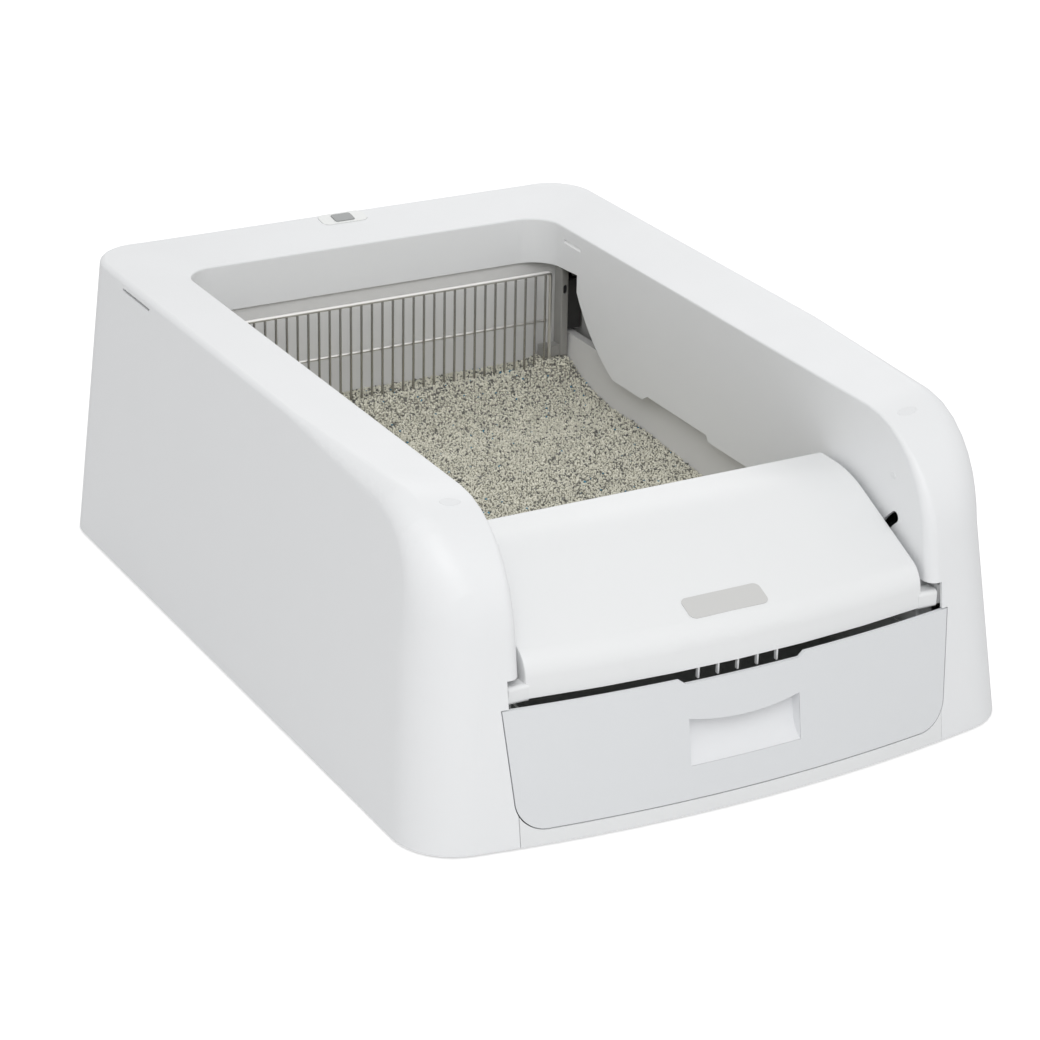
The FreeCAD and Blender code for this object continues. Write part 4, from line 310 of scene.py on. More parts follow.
def crystal(name, light, dark):
    """Loose litter grains, each with its own tone."""
    material, tree, shader = new_material(name)
    tone = placed(tree, CELLS, Light=tint(light), Dark=tint(dark))
    texture = placed(tree, GRAIN, Grain_Scale=2600.0, Roughness=0.75)
    join(tree, tone.outputs["Colour"], shader.inputs["Base Color"])
    join(tree, texture.outputs["Roughness"], shader.inputs["Roughness"])
    bumped(tree, shader, texture.outputs["Height"], 0.3, 0.2 * MM)
    return material


TRAY_STEP = 104 * MM
CRANK_ARM_START = 172.2 * MM

shell_white = moulded("shell_white", (0.83, 0.84, 0.85), 0.42, depth=0.04)
lid_white = moulded("lid_white", (0.83, 0.84, 0.845), 0.36, depth=0.035)
drawer_white = moulded("drawer_white", (0.74, 0.755, 0.77), 0.4, depth=0.04)
scoop_white = moulded("scoop_white", (0.82, 0.83, 0.845), 0.4, depth=0.04)
# Lighter than the shell's white: painted highlight for the lit lips of the hood slots
lip_highlight_white = moulded("lip_highlight_white", (0.92, 0.925, 0.93), 0.4, depth=0.04)
plug_white = moulded("plug_white", (0.795, 0.805, 0.815), 0.45, depth=0.04)
plate_grey = moulded("plate_grey", (0.62, 0.62, 0.61), 0.5, grain=900.0, depth=0.08)
bezel_grey = moulded("bezel_grey", (0.82, 0.83, 0.82), 0.35)
button_grey = moulded("button_grey", (0.35, 0.36, 0.36), 0.45, depth=0.08)
tray_grey = tray_plastic("tray_grey", (0.77, 0.77, 0.765), TRAY_STEP)
base_white = moulded("base_white", (0.8, 0.81, 0.815), 0.45)
bin_grey = moulded("bin_grey", (0.42, 0.43, 0.43), 0.5, uneven=0.5)
fitting_grey = moulded("fitting_grey", (0.34, 0.345, 0.34), 0.48, depth=0.07)
crank_grey = crank_plastic("crank_grey", (0.34, 0.335, 0.32), (0.045, 0.045, 0.045),
                           CRANK_ARM_START)
guard_grey = moulded("guard_grey", (0.6, 0.6, 0.585), 0.45)
black_plastic = moulded("black_plastic", (0.025, 0.025, 0.027), 0.5, depth=0.08, darker=0.6)
belt_black = moulded("belt_black", (0.02, 0.02, 0.02), 0.8, grain=2200.0, depth=0.2)
foot_rubber = moulded("foot_rubber", (0.03, 0.03, 0.03), 0.85, grain=900.0, depth=0.2)
gear_cream = moulded("gear_cream", (0.68, 0.66, 0.58), 0.38, uneven=0.5, darker=0.9)
board_green = moulded("board_green", (0.02, 0.12, 0.05), 0.3, grain=600.0, uneven=0.7,
                      darker=0.6)
wire_bright = metal("wire_bright", (0.86, 0.85, 0.83), 0.34, (6.0, 900.0, 900.0))
# Darker than the frame wire's steel: painted shade for the dark tray that the tines reflect
tine_steel_painted_shade = metal("tine_steel_painted_shade", (0.46, 0.45, 0.43), 0.26, (900.0, 900.0, 6.0))
rail_steel = metal("rail_steel", (0.62, 0.63, 0.64), 0.28, (700.0, 5.0, 700.0))
shaft_steel = metal("shaft_steel", (0.6, 0.61, 0.62), 0.3, (5.0, 700.0, 700.0))
screw_zinc = metal("screw_zinc", (0.6, 0.59, 0.55), 0.35, (500.0, 500.0, 8.0))
motor_can = metal("motor_can", (0.55, 0.55, 0.56), 0.34, (8.0, 600.0, 600.0))
bush_bronze = metal("bush_bronze", (0.52, 0.38, 0.2), 0.4, (600.0, 8.0, 600.0))
litter_pale = crystal("litter_pale", (0.9, 0.88, 0.76), (0.64, 0.625, 0.53))
litter_dark = crystal("litter_dark", (0.3, 0.3, 0.27), (0.12, 0.12, 0.11))
litter_blue = crystal("litter_blue", (0.1, 0.3, 0.42), (0.05, 0.16, 0.25))
# Darker copy of the litter's tone for the heap under the grains: painted shade in the gaps
# between them
litter_under_painted_shade = crystal("litter_under_painted_shade", (0.42, 0.405, 0.345), (0.24, 0.23, 0.2))


def both(*kinds):
    """Names of the left and the right piece of each kind."""
    return [f"{kind}_{side}" for kind in kinds for side in ("left", "right")]


FINISHES = {
    shell_white: ["housing"],
    lid_white: ["waste_lid"],
    drawer_white: ["drawer_front"],
    scoop_white: ["handle_cup"],
    base_white: ["base_tub", *both("hinge_saddle")],
    plate_grey: ["lid_plate"],
    bezel_grey: ["control_plate"],
    button_grey: ["control_button"],
    tray_grey: ["litter_tray"],
    bin_grey: ["waste_bin"],
    crank_grey: both("rake_crank"),
    fitting_grey: [
        *both("front_bracket", "rear_bracket", "carriage"), "belt_clamps", "motor_mount",
    ],
    black_plastic: ["gearbox", "power_inlet", "tact_switch"],
    belt_black: both("drive_belt"),
    foot_rubber: ["rubber_feet"],
    gear_cream: ["driven_gear", "motor_pinion", *both("drive_pulley", "idler_pulley")],
    board_green: ["circuit_board"],
    rail_steel: both("guide_rod"),
    shaft_steel: [
        "cross_shaft", "pinion_shaft", "idler_axles", "lid_hinge_pins", "lid_stop_pins",
    ],
    screw_zinc: ["housing_screws", "gearbox_screws"],
    motor_can: ["motor"],
    bush_bronze: ["carriage_bushes", "shaft_bearings"],
    tine_steel_painted_shade: ["rake_tines"],
    wire_bright: ["rake_top_wire", "rake_middle_wire"],
    litter_pale: ["litter_bed"],
}
SMOOTH_ANGLE = math.radians(28)
JOIN_REACH = 0.001 * MM


def smooth_joins():
    """Modifier tree that joins the faces of a solid and keeps only its crisp edges sharp."""
    tree = bpy.data.node_groups.new("smooth_joins", "GeometryNodeTree")
    tree.interface.new_socket("Geometry", in_out="INPUT", socket_type="NodeSocketGeometry")
    tree.interface.new_socket("Geometry", in_out="OUTPUT", socket_type="NodeSocketGeometry")
    start = tree.nodes.new("NodeGroupInput")
    end = tree.nodes.new("NodeGroupOutput")
    bare = add(tree, "GeometryNodeRemoveAttribute", inputs={"Name": "custom_normal"})
    merge = add(tree, "GeometryNodeMergeByDistance", inputs={"Distance": JOIN_REACH})
    faces = add(tree, "GeometryNodeSetShadeSmooth", domain="FACE")
    edges = add(tree, "GeometryNodeSetShadeSmooth", domain="EDGE",
                inputs={"Shade Smooth": False})
    angle = add(tree, "GeometryNodeInputMeshEdgeAngle")
    crisp = add(tree, "FunctionNodeCompare", operation="GREATER_THAN",
                inputs={"B": SMOOTH_ANGLE})
    join(tree, start.outputs[0], bare.inputs["Geometry"])
    join(tree, bare.outputs["Geometry"], merge.inputs["Geometry"])
    join(tree, merge.outputs["Geometry"], faces.inputs["Geometry"])
    join(tree, faces.outputs["Geometry"], edges.inputs["Geometry"])
    join(tree, angle.outputs["Unsigned Angle"], crisp.inputs["A"])
    join(tree, crisp.outputs["Result"], edges.inputs["Selection"])
    join(tree, edges.outputs["Geometry"], end.inputs["Geometry"])
    return tree


JOINS = smooth_joins()

for finish, names in FINISHES.items():
    for node_name in names:
        item = nodes[node_name]
        item.data.materials.clear()
        item.data.materials.append(finish)
        item.modifiers.new("smooth_joins", "NODES").node_group = JOINS
        even = item.modifiers.new("even_normals", "WEIGHTED_NORMAL")
        even.mode = "FACE_AREA_WITH_ANGLE"
        even.keep_sharp = True


# Pieces

def new_object(name, data):
    """Object of a mesh, lamp or camera, put into the scene."""
    item = bpy.data.objects.new(name, data)
    bpy.context.scene.collection.objects.link(item)
    return item


def piece(name, mesh, finishes, body):
    """Object from a mesh, with its finishes and body."""
    item = new_object(name, mesh)
    for finish in finishes:
        mesh.materials.append(finish)
    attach(item, body)
    return item


def mesh_of(form, name, smooth=True):
    """Mesh from a bmesh, which is then freed."""
    mesh = bpy.data.meshes.new(name)
    form.to_mesh(mesh)
    form.free()
    if smooth:
        mesh.polygons.foreach_set("use_smooth", [True] * len(mesh.polygons))
    return mesh


def surface_of(node_name):
    """Faces of a solid, for rays that look for its surface."""
    mesh = nodes[node_name].data
    return BVHTree.FromPolygons(
        [vertex.co for vertex in mesh.vertices], [tuple(face.vertices) for face in mesh.polygons]
    )


WIRE_SIDES = 14
END_RINGS = 4


def wire(form, path, radius):
    """Round wire along a list of points, with domed ends, added to a bmesh."""
    path = [Vector(spot) for spot in path]
    rings = []
    ahead = (path[1] - path[0]).normalized()
    across = ahead.orthogonal().normalized()
    for number, spot in enumerate(path):
        before = path[max(number - 1, 0)]
        after = path[min(number + 1, len(path) - 1)]
        course = (after - before).normalized()
        across = (across - course * across.dot(course)).normalized()
        rings.append((spot, course, across, radius))

    # Smaller rings that dome the two ends
    domes = []
    for share in range(END_RINGS - 1, 0, -1):
        turn = math.pi / 2 * share / END_RINGS
        domes.append((math.sin(turn) * radius, math.cos(turn) * radius))
    spot, course, side, _ = rings[0]
    rings[:0] = [(spot - course * back, course, side, wide) for back, wide in domes]
    spot, course, side, _ = rings[-1]
    rings += [(spot + course * back, course, side, wide) for back, wide in reversed(domes)]

    loops = []
    for spot, course, side, wide in rings:
        other = course.cross(side)
        loop = []
        for step in range(WIRE_SIDES):
            turn = 2 * math.pi * step / WIRE_SIDES
            loop.append(form.verts.new(
                spot + (side * math.cos(turn) + other * math.sin(turn)) * wide
            ))
        loops.append(loop)
    for low, high in zip(loops, loops[1:]):
        for step in range(WIRE_SIDES):
            after = (step + 1) % WIRE_SIDES
            form.faces.new((low[step], low[after], high[after], high[step]))
    form.faces.new(list(reversed(loops[0])))
    form.faces.new(loops[-1])


def wire_piece(name, runs, body, finish):
    """Piece of several wires. runs is a list of (points, radius)."""
    form = bmesh.new()
    for path, radius in runs:
        wire(form, path, radius)
    return piece(name, mesh_of(form, name), [finish], body)


# Wire rake: tines pressed onto a bent frame wire and a middle wire

TINES = 33
BEND_STEPS = 8
# Radii as shares of the solids' thickness, so that the wires look as slim as real ones
TINE_SHARE = 0.46
FRAME_SHARE = 0.5
MIDDLE_SHARE = 0.6
# Shares of the frame wire's radius
FRAME_BEND = 2.2
TINE_LAP = 0.4

tines_low, tines_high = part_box("rake_tines")
frame_low, frame_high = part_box("rake_top_wire")
middle_low, middle_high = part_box("rake_middle_wire")
tine_radius = TINE_SHARE * (tines_high.y - tines_low.y)
frame_radius = FRAME_SHARE * (frame_high.y - frame_low.y)
middle_radius = MIDDLE_SHARE * (middle_high.z - middle_low.z)
rake_y = (tines_low.y + tines_high.y) / 2
first_x = tines_low.x + tine_radius
pitch = (tines_high.x - tines_low.x - 2 * tine_radius) / (TINES - 1)
frame_top = frame_high.z - frame_radius
frame_side = frame_high.x - frame_radius
frame_bend = FRAME_BEND * frame_radius


def straight(start, end):
    """Points of a straight wire: its two ends and its middle."""
    return [start, (Vector(start) + Vector(end)) / 2, end]


tine_foot = tines_low.z + tine_radius
tine_head = frame_top - TINE_LAP * frame_radius
tine_runs = []
for number in range(TINES):
    x = first_x + number * pitch
    tine_runs.append((straight((x, rake_y, tine_foot), (x, rake_y, tine_head)), tine_radius))
# The tines carry the darkened steel: painted shade for their dark reflection
tine_wires = wire_piece("rake_tine_wires", tine_runs, "rake", tine_steel_painted_shade)
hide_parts("rake_tines")


def frame_path():
    """Line of the frame wire: up one end, across the top and down the other end."""
    spots = [(frame_side, rake_y, frame_low.z + frame_radius)]
    for step in range(BEND_STEPS + 1):
        turn = math.pi / 2 * step / BEND_STEPS
        spots.append((
            frame_side - frame_bend * (1 - math.cos(turn)), rake_y,
            frame_top - frame_bend * (1 - math.sin(turn)),
        ))
    return spots + [(-x, y, z) for x, y, z in reversed(spots)]


frame_wire = wire_piece("rake_frame_wire", [(frame_path(), frame_radius)], "rake", wire_bright)
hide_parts("rake_top_wire")

middle_y = (middle_low.y + middle_high.y) / 2
middle_z = (middle_low.z + middle_high.z) / 2
middle_run = straight((middle_low.x + middle_radius, middle_y, middle_z),
                      (middle_high.x - middle_radius, middle_y, middle_z))
cross_wire = wire_piece("rake_cross_wire", [(middle_run, middle_radius)], "rake", wire_bright)
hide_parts("rake_middle_wire")


# Small moulded pieces

def bar_mesh(name, outlines, axis, low, high):
    """Bars of a drawn outline, run along one axis from low to high."""
    form = bmesh.new()
    for outline in outlines:
        ends = []
        for place in (low, high):
            spots = []
            for first, second in outline:
                spot = [first, second]
                spot.insert(axis, place)
                spots.append(form.verts.new(spot))
            ends.append(spots)
        form.faces.new(ends[0])
        form.faces.new(list(reversed(ends[1])))
        count = len(outline)
        for step in range(count):
            after = (step + 1) % count
            form.faces.new((ends[0][after], ends[0][step], ends[1][step], ends[1][after]))
    bmesh.ops.recalc_face_normals(form, faces=form.faces)
    return mesh_of(form, name, smooth=False)


def mirrored(outline):
    """The same outline on the other side of the box."""
    return [(-first, second) for first, second in outline]


def oval(centre, half_width, half_height, steps=24):
    """Outline of a slot with round ends, taller than it is wide."""
    reach = half_height - half_width
    spots = []
    for step in range(steps):
        turn = 2 * math.pi * step / steps
        rise = reach if math.sin(turn) >= 0 else -reach
        spots.append((centre[0] + half_width * math.cos(turn),
                      centre[1] + half_width * math.sin(turn) + rise))
    return spots


# Black inserts in the slots of the cranks: painted shade that makes the slots read as deep dark
# holes
CRANK_SLOT = (168.75 * MM, 164 * MM)
CRANK_SLOT_HALVES = (1.75 * MM, 3.75 * MM)
CRANK_SLOT_SHADE_DEPTHS = (1.2 * MM, 2.9 * MM)
crank_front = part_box("rake_crank_right")[0].y
slot_shade_outline = oval(CRANK_SLOT, *CRANK_SLOT_HALVES)
piece(
    "crank_slot_shade",
    bar_mesh("crank_slot_shade", [slot_shade_outline, mirrored(slot_shade_outline)], 1,
             *(crank_front + depth for depth in CRANK_SLOT_SHADE_DEPTHS)),
    [black_plastic], "rake",
)

# Sloped lips in the slots of the hood, in a white lighter than the shell's: painted highlight on
# the lit lower faces of the slots
LIP_FACE = 162.1 * MM
LIP_BACK = 164.3 * MM
LIP_CREST = 163.9 * MM
LIP_LEVELS = (207.75 * MM, 211.05 * MM)
LIP_ENDS = (197.0 * MM, 224.8 * MM)
lip = [
    (LIP_FACE, LIP_LEVELS[0]), (LIP_BACK, LIP_LEVELS[0]), (LIP_BACK, LIP_LEVELS[1]),
    (LIP_CREST, LIP_LEVELS[1]),
]
piece(
    "hood_slot_lips", bar_mesh("hood_slot_lips", [lip, mirrored(lip)], 1, *LIP_ENDS),
    [lip_highlight_white], "base",
)

# Guards that keep litter off the belts, on the floor of the base between the brackets
TUB_FLOOR = 7.0 * MM
GUARD_FACE = 188.7 * MM
GUARD_TOP = 160 * MM
GUARD_WALL = 1.4 * MM
GUARD_FOOT = 8 * MM
GUARD_HEM = 4 * MM
GUARD_ENDS = (-104 * MM, 264 * MM)
guard = [
    (GUARD_FACE, TUB_FLOOR), (GUARD_FACE + GUARD_FOOT, TUB_FLOOR),
    (GUARD_FACE + GUARD_FOOT, TUB_FLOOR + GUARD_WALL),
    (GUARD_FACE + GUARD_WALL, TUB_FLOOR + GUARD_WALL),
    (GUARD_FACE + GUARD_WALL, GUARD_TOP - GUARD_WALL),
    (GUARD_FACE + GUARD_HEM, GUARD_TOP - GUARD_WALL), (GUARD_FACE + GUARD_HEM, GUARD_TOP),
    (GUARD_FACE, GUARD_TOP),
]
piece(
    "belt_guards", bar_mesh("belt_guards", [guard, mirrored(guard)], 1, *GUARD_ENDS),
    [guard_grey], "base",
)


# Handle scoop: a hollow ramp from the foot of the opening up behind its top edge

SCOOP_HALF = 43.85 * MM
SCOOP_COLUMNS = 28
SCOOP_STEPS = 18
SCOOP_FOOT = 36.15 * MM
SCOOP_KNEE = 60 * MM
# Guide point of the ramp's curve: rise over its foot, and distance before its back
RAMP_GUIDE = (5.5 * MM, 0.6 * MM)
SCOOP_SKIN = (1.9 * MM, 1.8 * MM)
SCOOP_HEM = 4.0 * MM
# Levels at which the drawer's face is read for its place and its lean
FACE_LEVEL = 34 * MM
LEAN_LEVEL = 20 * MM
# How deep the ramp's lip and the cheeks' front edges sit in the drawer's face
SCOOP_LIP_DEPTH = 0.25 * MM
CHEEK_DEPTH = 0.1 * MM

drawer_tree = surface_of("drawer_front")
cup_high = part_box("handle_cup")[1]
scoop_back = cup_high.y - SCOOP_SKIN[0]
scoop_top = cup_high.z - SCOOP_SKIN[1]


def face_at(x, z):
    """Depth of the drawer's bowed face, met by a ray from the front."""
    spot, _, _, _ = drawer_tree.ray_cast(Vector((x, -0.5, z)), Vector((0, 1, 0)))
    return spot.y


def bowed(t, start, guide, end):
    """Value at t, from 0 to 1, on a curve drawn towards a guide value."""
    return (1 - t) ** 2 * start + 2 * t * (1 - t) * guide + t * t * end


def scoop_profile(x):
    """Side line of the ramp from its lip to its top, as (y, z)."""
    face = face_at(x, FACE_LEVEL)
    lean = (face_at(x, LEAN_LEVEL) - face) / (FACE_LEVEL - LEAN_LEVEL)
    lip_y = face - lean * (SCOOP_FOOT - FACE_LEVEL) + SCOOP_LIP_DEPTH
    spots = []
    for step in range(SCOOP_STEPS + 1):
        t = step / SCOOP_STEPS
        spots.append((
            bowed(t, lip_y, scoop_back - RAMP_GUIDE[1], scoop_back),
            bowed(t, SCOOP_FOOT, SCOOP_FOOT + RAMP_GUIDE[0], SCOOP_KNEE),
        ))
    spots.append((scoop_back, scoop_top))
    spots.append((scoop_back - SCOOP_HEM, scoop_top))
    return spots, lip_y, lean


def scoop_mesh():
    """Ramp, top and the two cheeks that close its ends."""
    form = bmesh.new()
    rows = []
    for column in range(SCOOP_COLUMNS + 1):
        x = -SCOOP_HALF + 2 * SCOOP_HALF * column / SCOOP_COLUMNS
        spots, lip_y, lean = scoop_profile(x)
        rows.append([form.verts.new((x, y, z)) for y, z in spots])
    for first, second in zip(rows, rows[1:]):
        for step in range(len(first) - 1):
            form.faces.new((first[step], second[step], second[step + 1], first[step + 1]))

    # The drawer is the same on both sides, so the last column's lip and lean serve both cheeks
    for row, side in ((rows[0], 1), (rows[-1], -1)):
        front = [row[0]]
        for vertex in row[1:-1]:
            x, y, z = vertex.co
            edge = lip_y - lean * (z - SCOOP_FOOT) + CHEEK_DEPTH
            front.append(form.verts.new((x, min(edge, y), z)))
        for step in range(len(front) - 1):
            corners = [front[step], front[step + 1], row[step + 1], row[step]]
            if step == 0:
                corners.pop(0)
            form.faces.new(corners if side > 0 else list(reversed(corners)))
    bmesh.ops.recalc_face_normals(form, faces=form.faces)
    mesh = mesh_of(form, "handle_scoop")
    mesh.set_sharp_from_angle(angle=SMOOTH_ANGLE)
    return mesh


scoop = piece("handle_scoop", scoop_mesh(), [scoop_white], "drawer")
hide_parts("handle_cup")


# Faint oval plugs on the arms, laid on the curved shell

PLUG_STEPS = 40
# Rings of a plug: share of the oval's size, and height over the shell in millimetres
PLUG_RINGS = (
    (0.0, 0.3), (0.2, 0.3), (0.4, 0.3), (0.6, 0.3), (0.8, 0.3), (0.93, 0.28), (1.0, -0.1),
)
# Places and half sizes of the plugs on the right: on the arm, and on its inner wall
TOP_PLUG = (181 * MM, -233 * MM)
TOP_PLUG_HALVES = (8 * MM, 4 * MM)
WALL_PLUG = (-248 * MM, 181 * MM)
WALL_PLUG_HALVES = (3.2 * MM, 2.2 * MM)
# Starts of the rays: above the box, and inside the opening
ABOVE = 0.4
INSIDE = 120 * MM

shell_tree = surface_of("housing")


def shell_plug(form, start, course, across, half_long, half_wide):
    """Thin oval skin laid on the shell where rays along course meet it."""
    course = Vector(course)
    across = Vector(across).normalized()
    along = course.cross(across).normalized()
    rings = []
    for share, lift in PLUG_RINGS:
        ring = []
        for step in range(PLUG_STEPS):
            turn = 2 * math.pi * step / PLUG_STEPS
            spot = (Vector(start) + along * half_long * share * math.cos(turn)
                    + across * half_wide * share * math.sin(turn))
            hit, normal, _, _ = shell_tree.ray_cast(spot, course)
            ring.append(form.verts.new(hit + normal * lift * MM))
            if share == 0.0:
                break
        rings.append(ring)

    centre = rings[0][0]
    for step in range(PLUG_STEPS):
        form.faces.new((centre, rings[1][step], rings[1][(step + 1) % PLUG_STEPS]))
    for inner, outer in zip(rings[1:], rings[2:]):
        for step in range(PLUG_STEPS):
            after = (step + 1) % PLUG_STEPS
            form.faces.new((inner[step], outer[step], outer[after], inner[after]))


plug_form = bmesh.new()
for side in (-1, 1):
    shell_plug(plug_form, (side * TOP_PLUG[0], TOP_PLUG[1], ABOVE), (0, 0, -1), (0, 1, 0),
               *TOP_PLUG_HALVES)
    shell_plug(plug_form, (side * INSIDE, *WALL_PLUG), (side, 0, 0), (0, 0, 1),
               *WALL_PLUG_HALVES)
bmesh.ops.recalc_face_normals(plug_form, faces=plug_form.faces)
piece("arm_plugs", mesh_of(plug_form, "arm_plugs"), [plug_white], "base")


# Litter: a heap under a layer of loose grains

# Distance of the grains in a row, and of the rows as a share of it
GRAIN_STEP = 1.95 * MM
ROW_SHARE = 0.866
GRAIN_SIZES = (0.85 * MM, 1.45 * MM)
HEAP_STEP = 5.0 * MM
# How far the surface lies under the solid's, and the height of its slow waves
SINK = 0.7 * MM
WAVE = 1.2 * MM
# Crossing waves: frequency and start along X, then along Y
WAVE_CROSS = ((41, 1.3), (37, 0.4))
# Slanted waves: height, frequency along X and along Y, and start
WAVE_SLANT = (0.6, 83, -61, 2.1)
WAVE_FINE = (0.4, 127, 151, 0.0)
# Half the width that is filled over the slot of the tines
SLOT_REACH = 3.2 * MM
# Litter swept up in the rear corner on the right: its centre, radius and height
PILE_CENTRE = (158 * MM, 236 * MM)
PILE_RADIUS = 26 * MM
PILE_HEIGHT = 9 * MM
# Reach over the bed from which rays look down, and the least depth that counts as litter
BED_REACH = 5 * MM
LEAST_DEPTH = 10 * MM
LEAST_SLOPE = 0.2
# The heap under the grains: inset from the bed, depth of its top and foot, and its taper
HEAP_INSET = 1.5 * MM
HEAP_TOP = 0.8 * MM
HEAP_FOOT = 9 * MM
HEAP_TAPER = 0.97
random = np.random.default_rng(11)

bed_tree = surface_of("litter_bed")
bed_low, bed_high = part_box("litter_bed")
bed_top = bed_high.z + BED_REACH
DOWN = Vector((0, 0, -1))


def bed_height(x, y):
    """Height of the litter over a spot, or None outside the tray."""
    spot, normal, _, _ = bed_tree.ray_cast(Vector((x, y, bed_top)), DOWN)
    if spot is None or normal.z < LEAST_SLOPE:
        return None
    return spot.z


def slanted(x, y, height, along_x, along_y, start):
    """Height of one slanted wave over a spot."""
    return height * math.sin(along_x * x + along_y * y + start)


def swell(x, y):
    """Slow waves of the litter's surface, from 0 to 1."""
    (across, across_start), (along, along_start) = WAVE_CROSS
    value = (
        math.sin(across * x + across_start) * math.sin(along * y + along_start)
        + slanted(x, y, *WAVE_SLANT) + slanted(x, y, *WAVE_FINE)
    )
    return 0.5 + value / 4


def filled_height(x, y):
    """Height of the surface, carried over the narrow slot that the tines stand in."""
    height = bed_height(x, y)
    if abs(y - rake_y) < SLOT_REACH:
        sides = [bed_height(x, rake_y + reach) for reach in (-SLOT_REACH, SLOT_REACH)]
        sides = [side for side in sides if side is not None]
        if sides:
            height = sum(sides) / len(sides)
    if height is None or height < bed_low.z + LEAST_DEPTH:
        return None
    foot = math.hypot(x - PILE_CENTRE[0], y - PILE_CENTRE[1]) / PILE_RADIUS
    pile = PILE_HEIGHT * max(0.0, 1 - foot * foot) ** 2
    return min(height + pile, bed_top) - SINK - WAVE * swell(x, y)


def corners_of(column, row):
    """The four corners of a cell of the heap's grid, in order round it."""
    return [(column, row), (column + 1, row), (column + 1, row + 1), (column, row + 1)]


def heap_mesh():
    """Closed heap with a wavy top inside the bed's outline."""
    width = bed_high.x - bed_low.x - 2 * HEAP_INSET
    length = bed_high.y - bed_low.y - 2 * HEAP_INSET
    columns = int(width / HEAP_STEP)
    rows = int(length / HEAP_STEP)
    form = bmesh.new()
    top, foot = {}, {}
    for column in range(columns + 1):
        x = bed_low.x + HEAP_INSET + width * column / columns
        for row in range(rows + 1):
            y = bed_low.y + HEAP_INSET + length * row / rows
            height = filled_height(x, y)
            if height is None:
                continue
            top[column, row] = form.verts.new((x, y, height - HEAP_TOP))
            foot[column, row] = form.verts.new((x * HEAP_TAPER, y, height - HEAP_FOOT))

    sides = set()
    for column in range(columns):
        for row in range(rows):
            corners = corners_of(column, row)
            if not all(corner in top for corner in corners):
                continue
            form.faces.new([top[corner] for corner in corners])
            form.faces.new([foot[corner] for corner in reversed(corners)])
            sides.update(zip(corners, corners[1:] + corners[:1]))
    for first, second in sorted(sides):
        if (second, first) not in sides:
            form.faces.new((foot[first], foot[second], top[second], top[first]))
    loose = [vertex for vertex in form.verts if not vertex.link_faces]
    bmesh.ops.delete(form, geom=loose, context="VERTS")
    return mesh_of(form, "litter_heap")


# How far a grain strays from its place: across and along in steps, up and down in
# millimetres. LIFT raises every grain by a share of the way up.
STRAY = 0.42
STRAY_UP = 0.9
LIFT = 0.1
# Range of a grain's shape along each axis, and of the reach of its corners
GRAIN_SHAPES = (0.75, 1.3)
GRAIN_ROUGH = (0.8, 1.15)
# Shares of blue grains and of dark ones: the least, and what the waves and the rear add
BLUE_SHARE = 0.006
DARK_SHARE = 0.05
DARK_WAVES = 0.1
DARK_REAR = 0.1
# The waves of the dark grains are longer than the surface's, with the axes swapped
DARK_STRETCH = (0.6, 0.7)
# The litter grows darker from this place to the rear, over this length
REAR_START = 205 * MM
REAR_LENGTH = 30 * MM

# A crushed grain has six corners and eight faces
GRAIN_CORNERS = np.array([
    (1.0, 0.1, 0.0), (-0.9, 0.0, 0.15), (0.1, 1.0, 0.1), (0.0, -0.95, -0.1),
    (-0.1, 0.1, 0.95), (0.1, 0.0, -0.9),
])
GRAIN_FACES = np.array([
    (0, 2, 4), (2, 1, 4), (1, 3, 4), (3, 0, 4), (2, 0, 5), (1, 2, 5), (3, 1, 5), (0, 3, 5),
])


def grain_spots():
    """Places of the loose grains, as rows of x, y and z."""
    spots = []
    row_step = GRAIN_STEP * ROW_SHARE
    across = int((bed_high.x - bed_low.x) / GRAIN_STEP) + 1
    along = int((bed_high.y - bed_low.y) / row_step) + 1
    for row in range(along):
        for column in range(across):
            shift = 0.5 * (row % 2)
            stray = random.uniform(-STRAY, STRAY, 3)
            x = bed_low.x + (column + shift + stray[0]) * GRAIN_STEP
            y = bed_low.y + (row + stray[1]) * row_step
            height = filled_height(x, y)
            if height is not None:
                spots.append((x, y, height + (stray[2] + LIFT) * STRAY_UP * MM))
    return np.array(spots)


def turned(turns):
    """Turning matrices of a row of quaternions."""
    w, x, y, z = (turns / np.linalg.norm(turns, axis=1)[:, None]).T
    return np.stack([
        1 - 2 * (y * y + z * z), 2 * (x * y - z * w), 2 * (x * z + y * w),
        2 * (x * y + z * w), 1 - 2 * (x * x + z * z), 2 * (y * z - x * w),
        2 * (x * z - y * w), 2 * (y * z + x * w), 1 - 2 * (x * x + y * y),
    ], axis=1).reshape(len(turns), 3, 3)


def grain_finishes(spots):
    """Number of the finish of each grain: 0 pale, 1 dark, 2 blue."""
    stretch_y, stretch_x = DARK_STRETCH
    waves = np.array([swell(stretch_y * y, stretch_x * x) for x, y, _ in spots])
    rear = np.clip((spots[:, 1] - REAR_START) / REAR_LENGTH, 0, 1)
    dark = DARK_SHARE + DARK_WAVES * waves + DARK_REAR * rear
    draw = random.random(len(spots))
    return np.where(draw < BLUE_SHARE, 2, np.where(draw < BLUE_SHARE + dark, 1, 0))


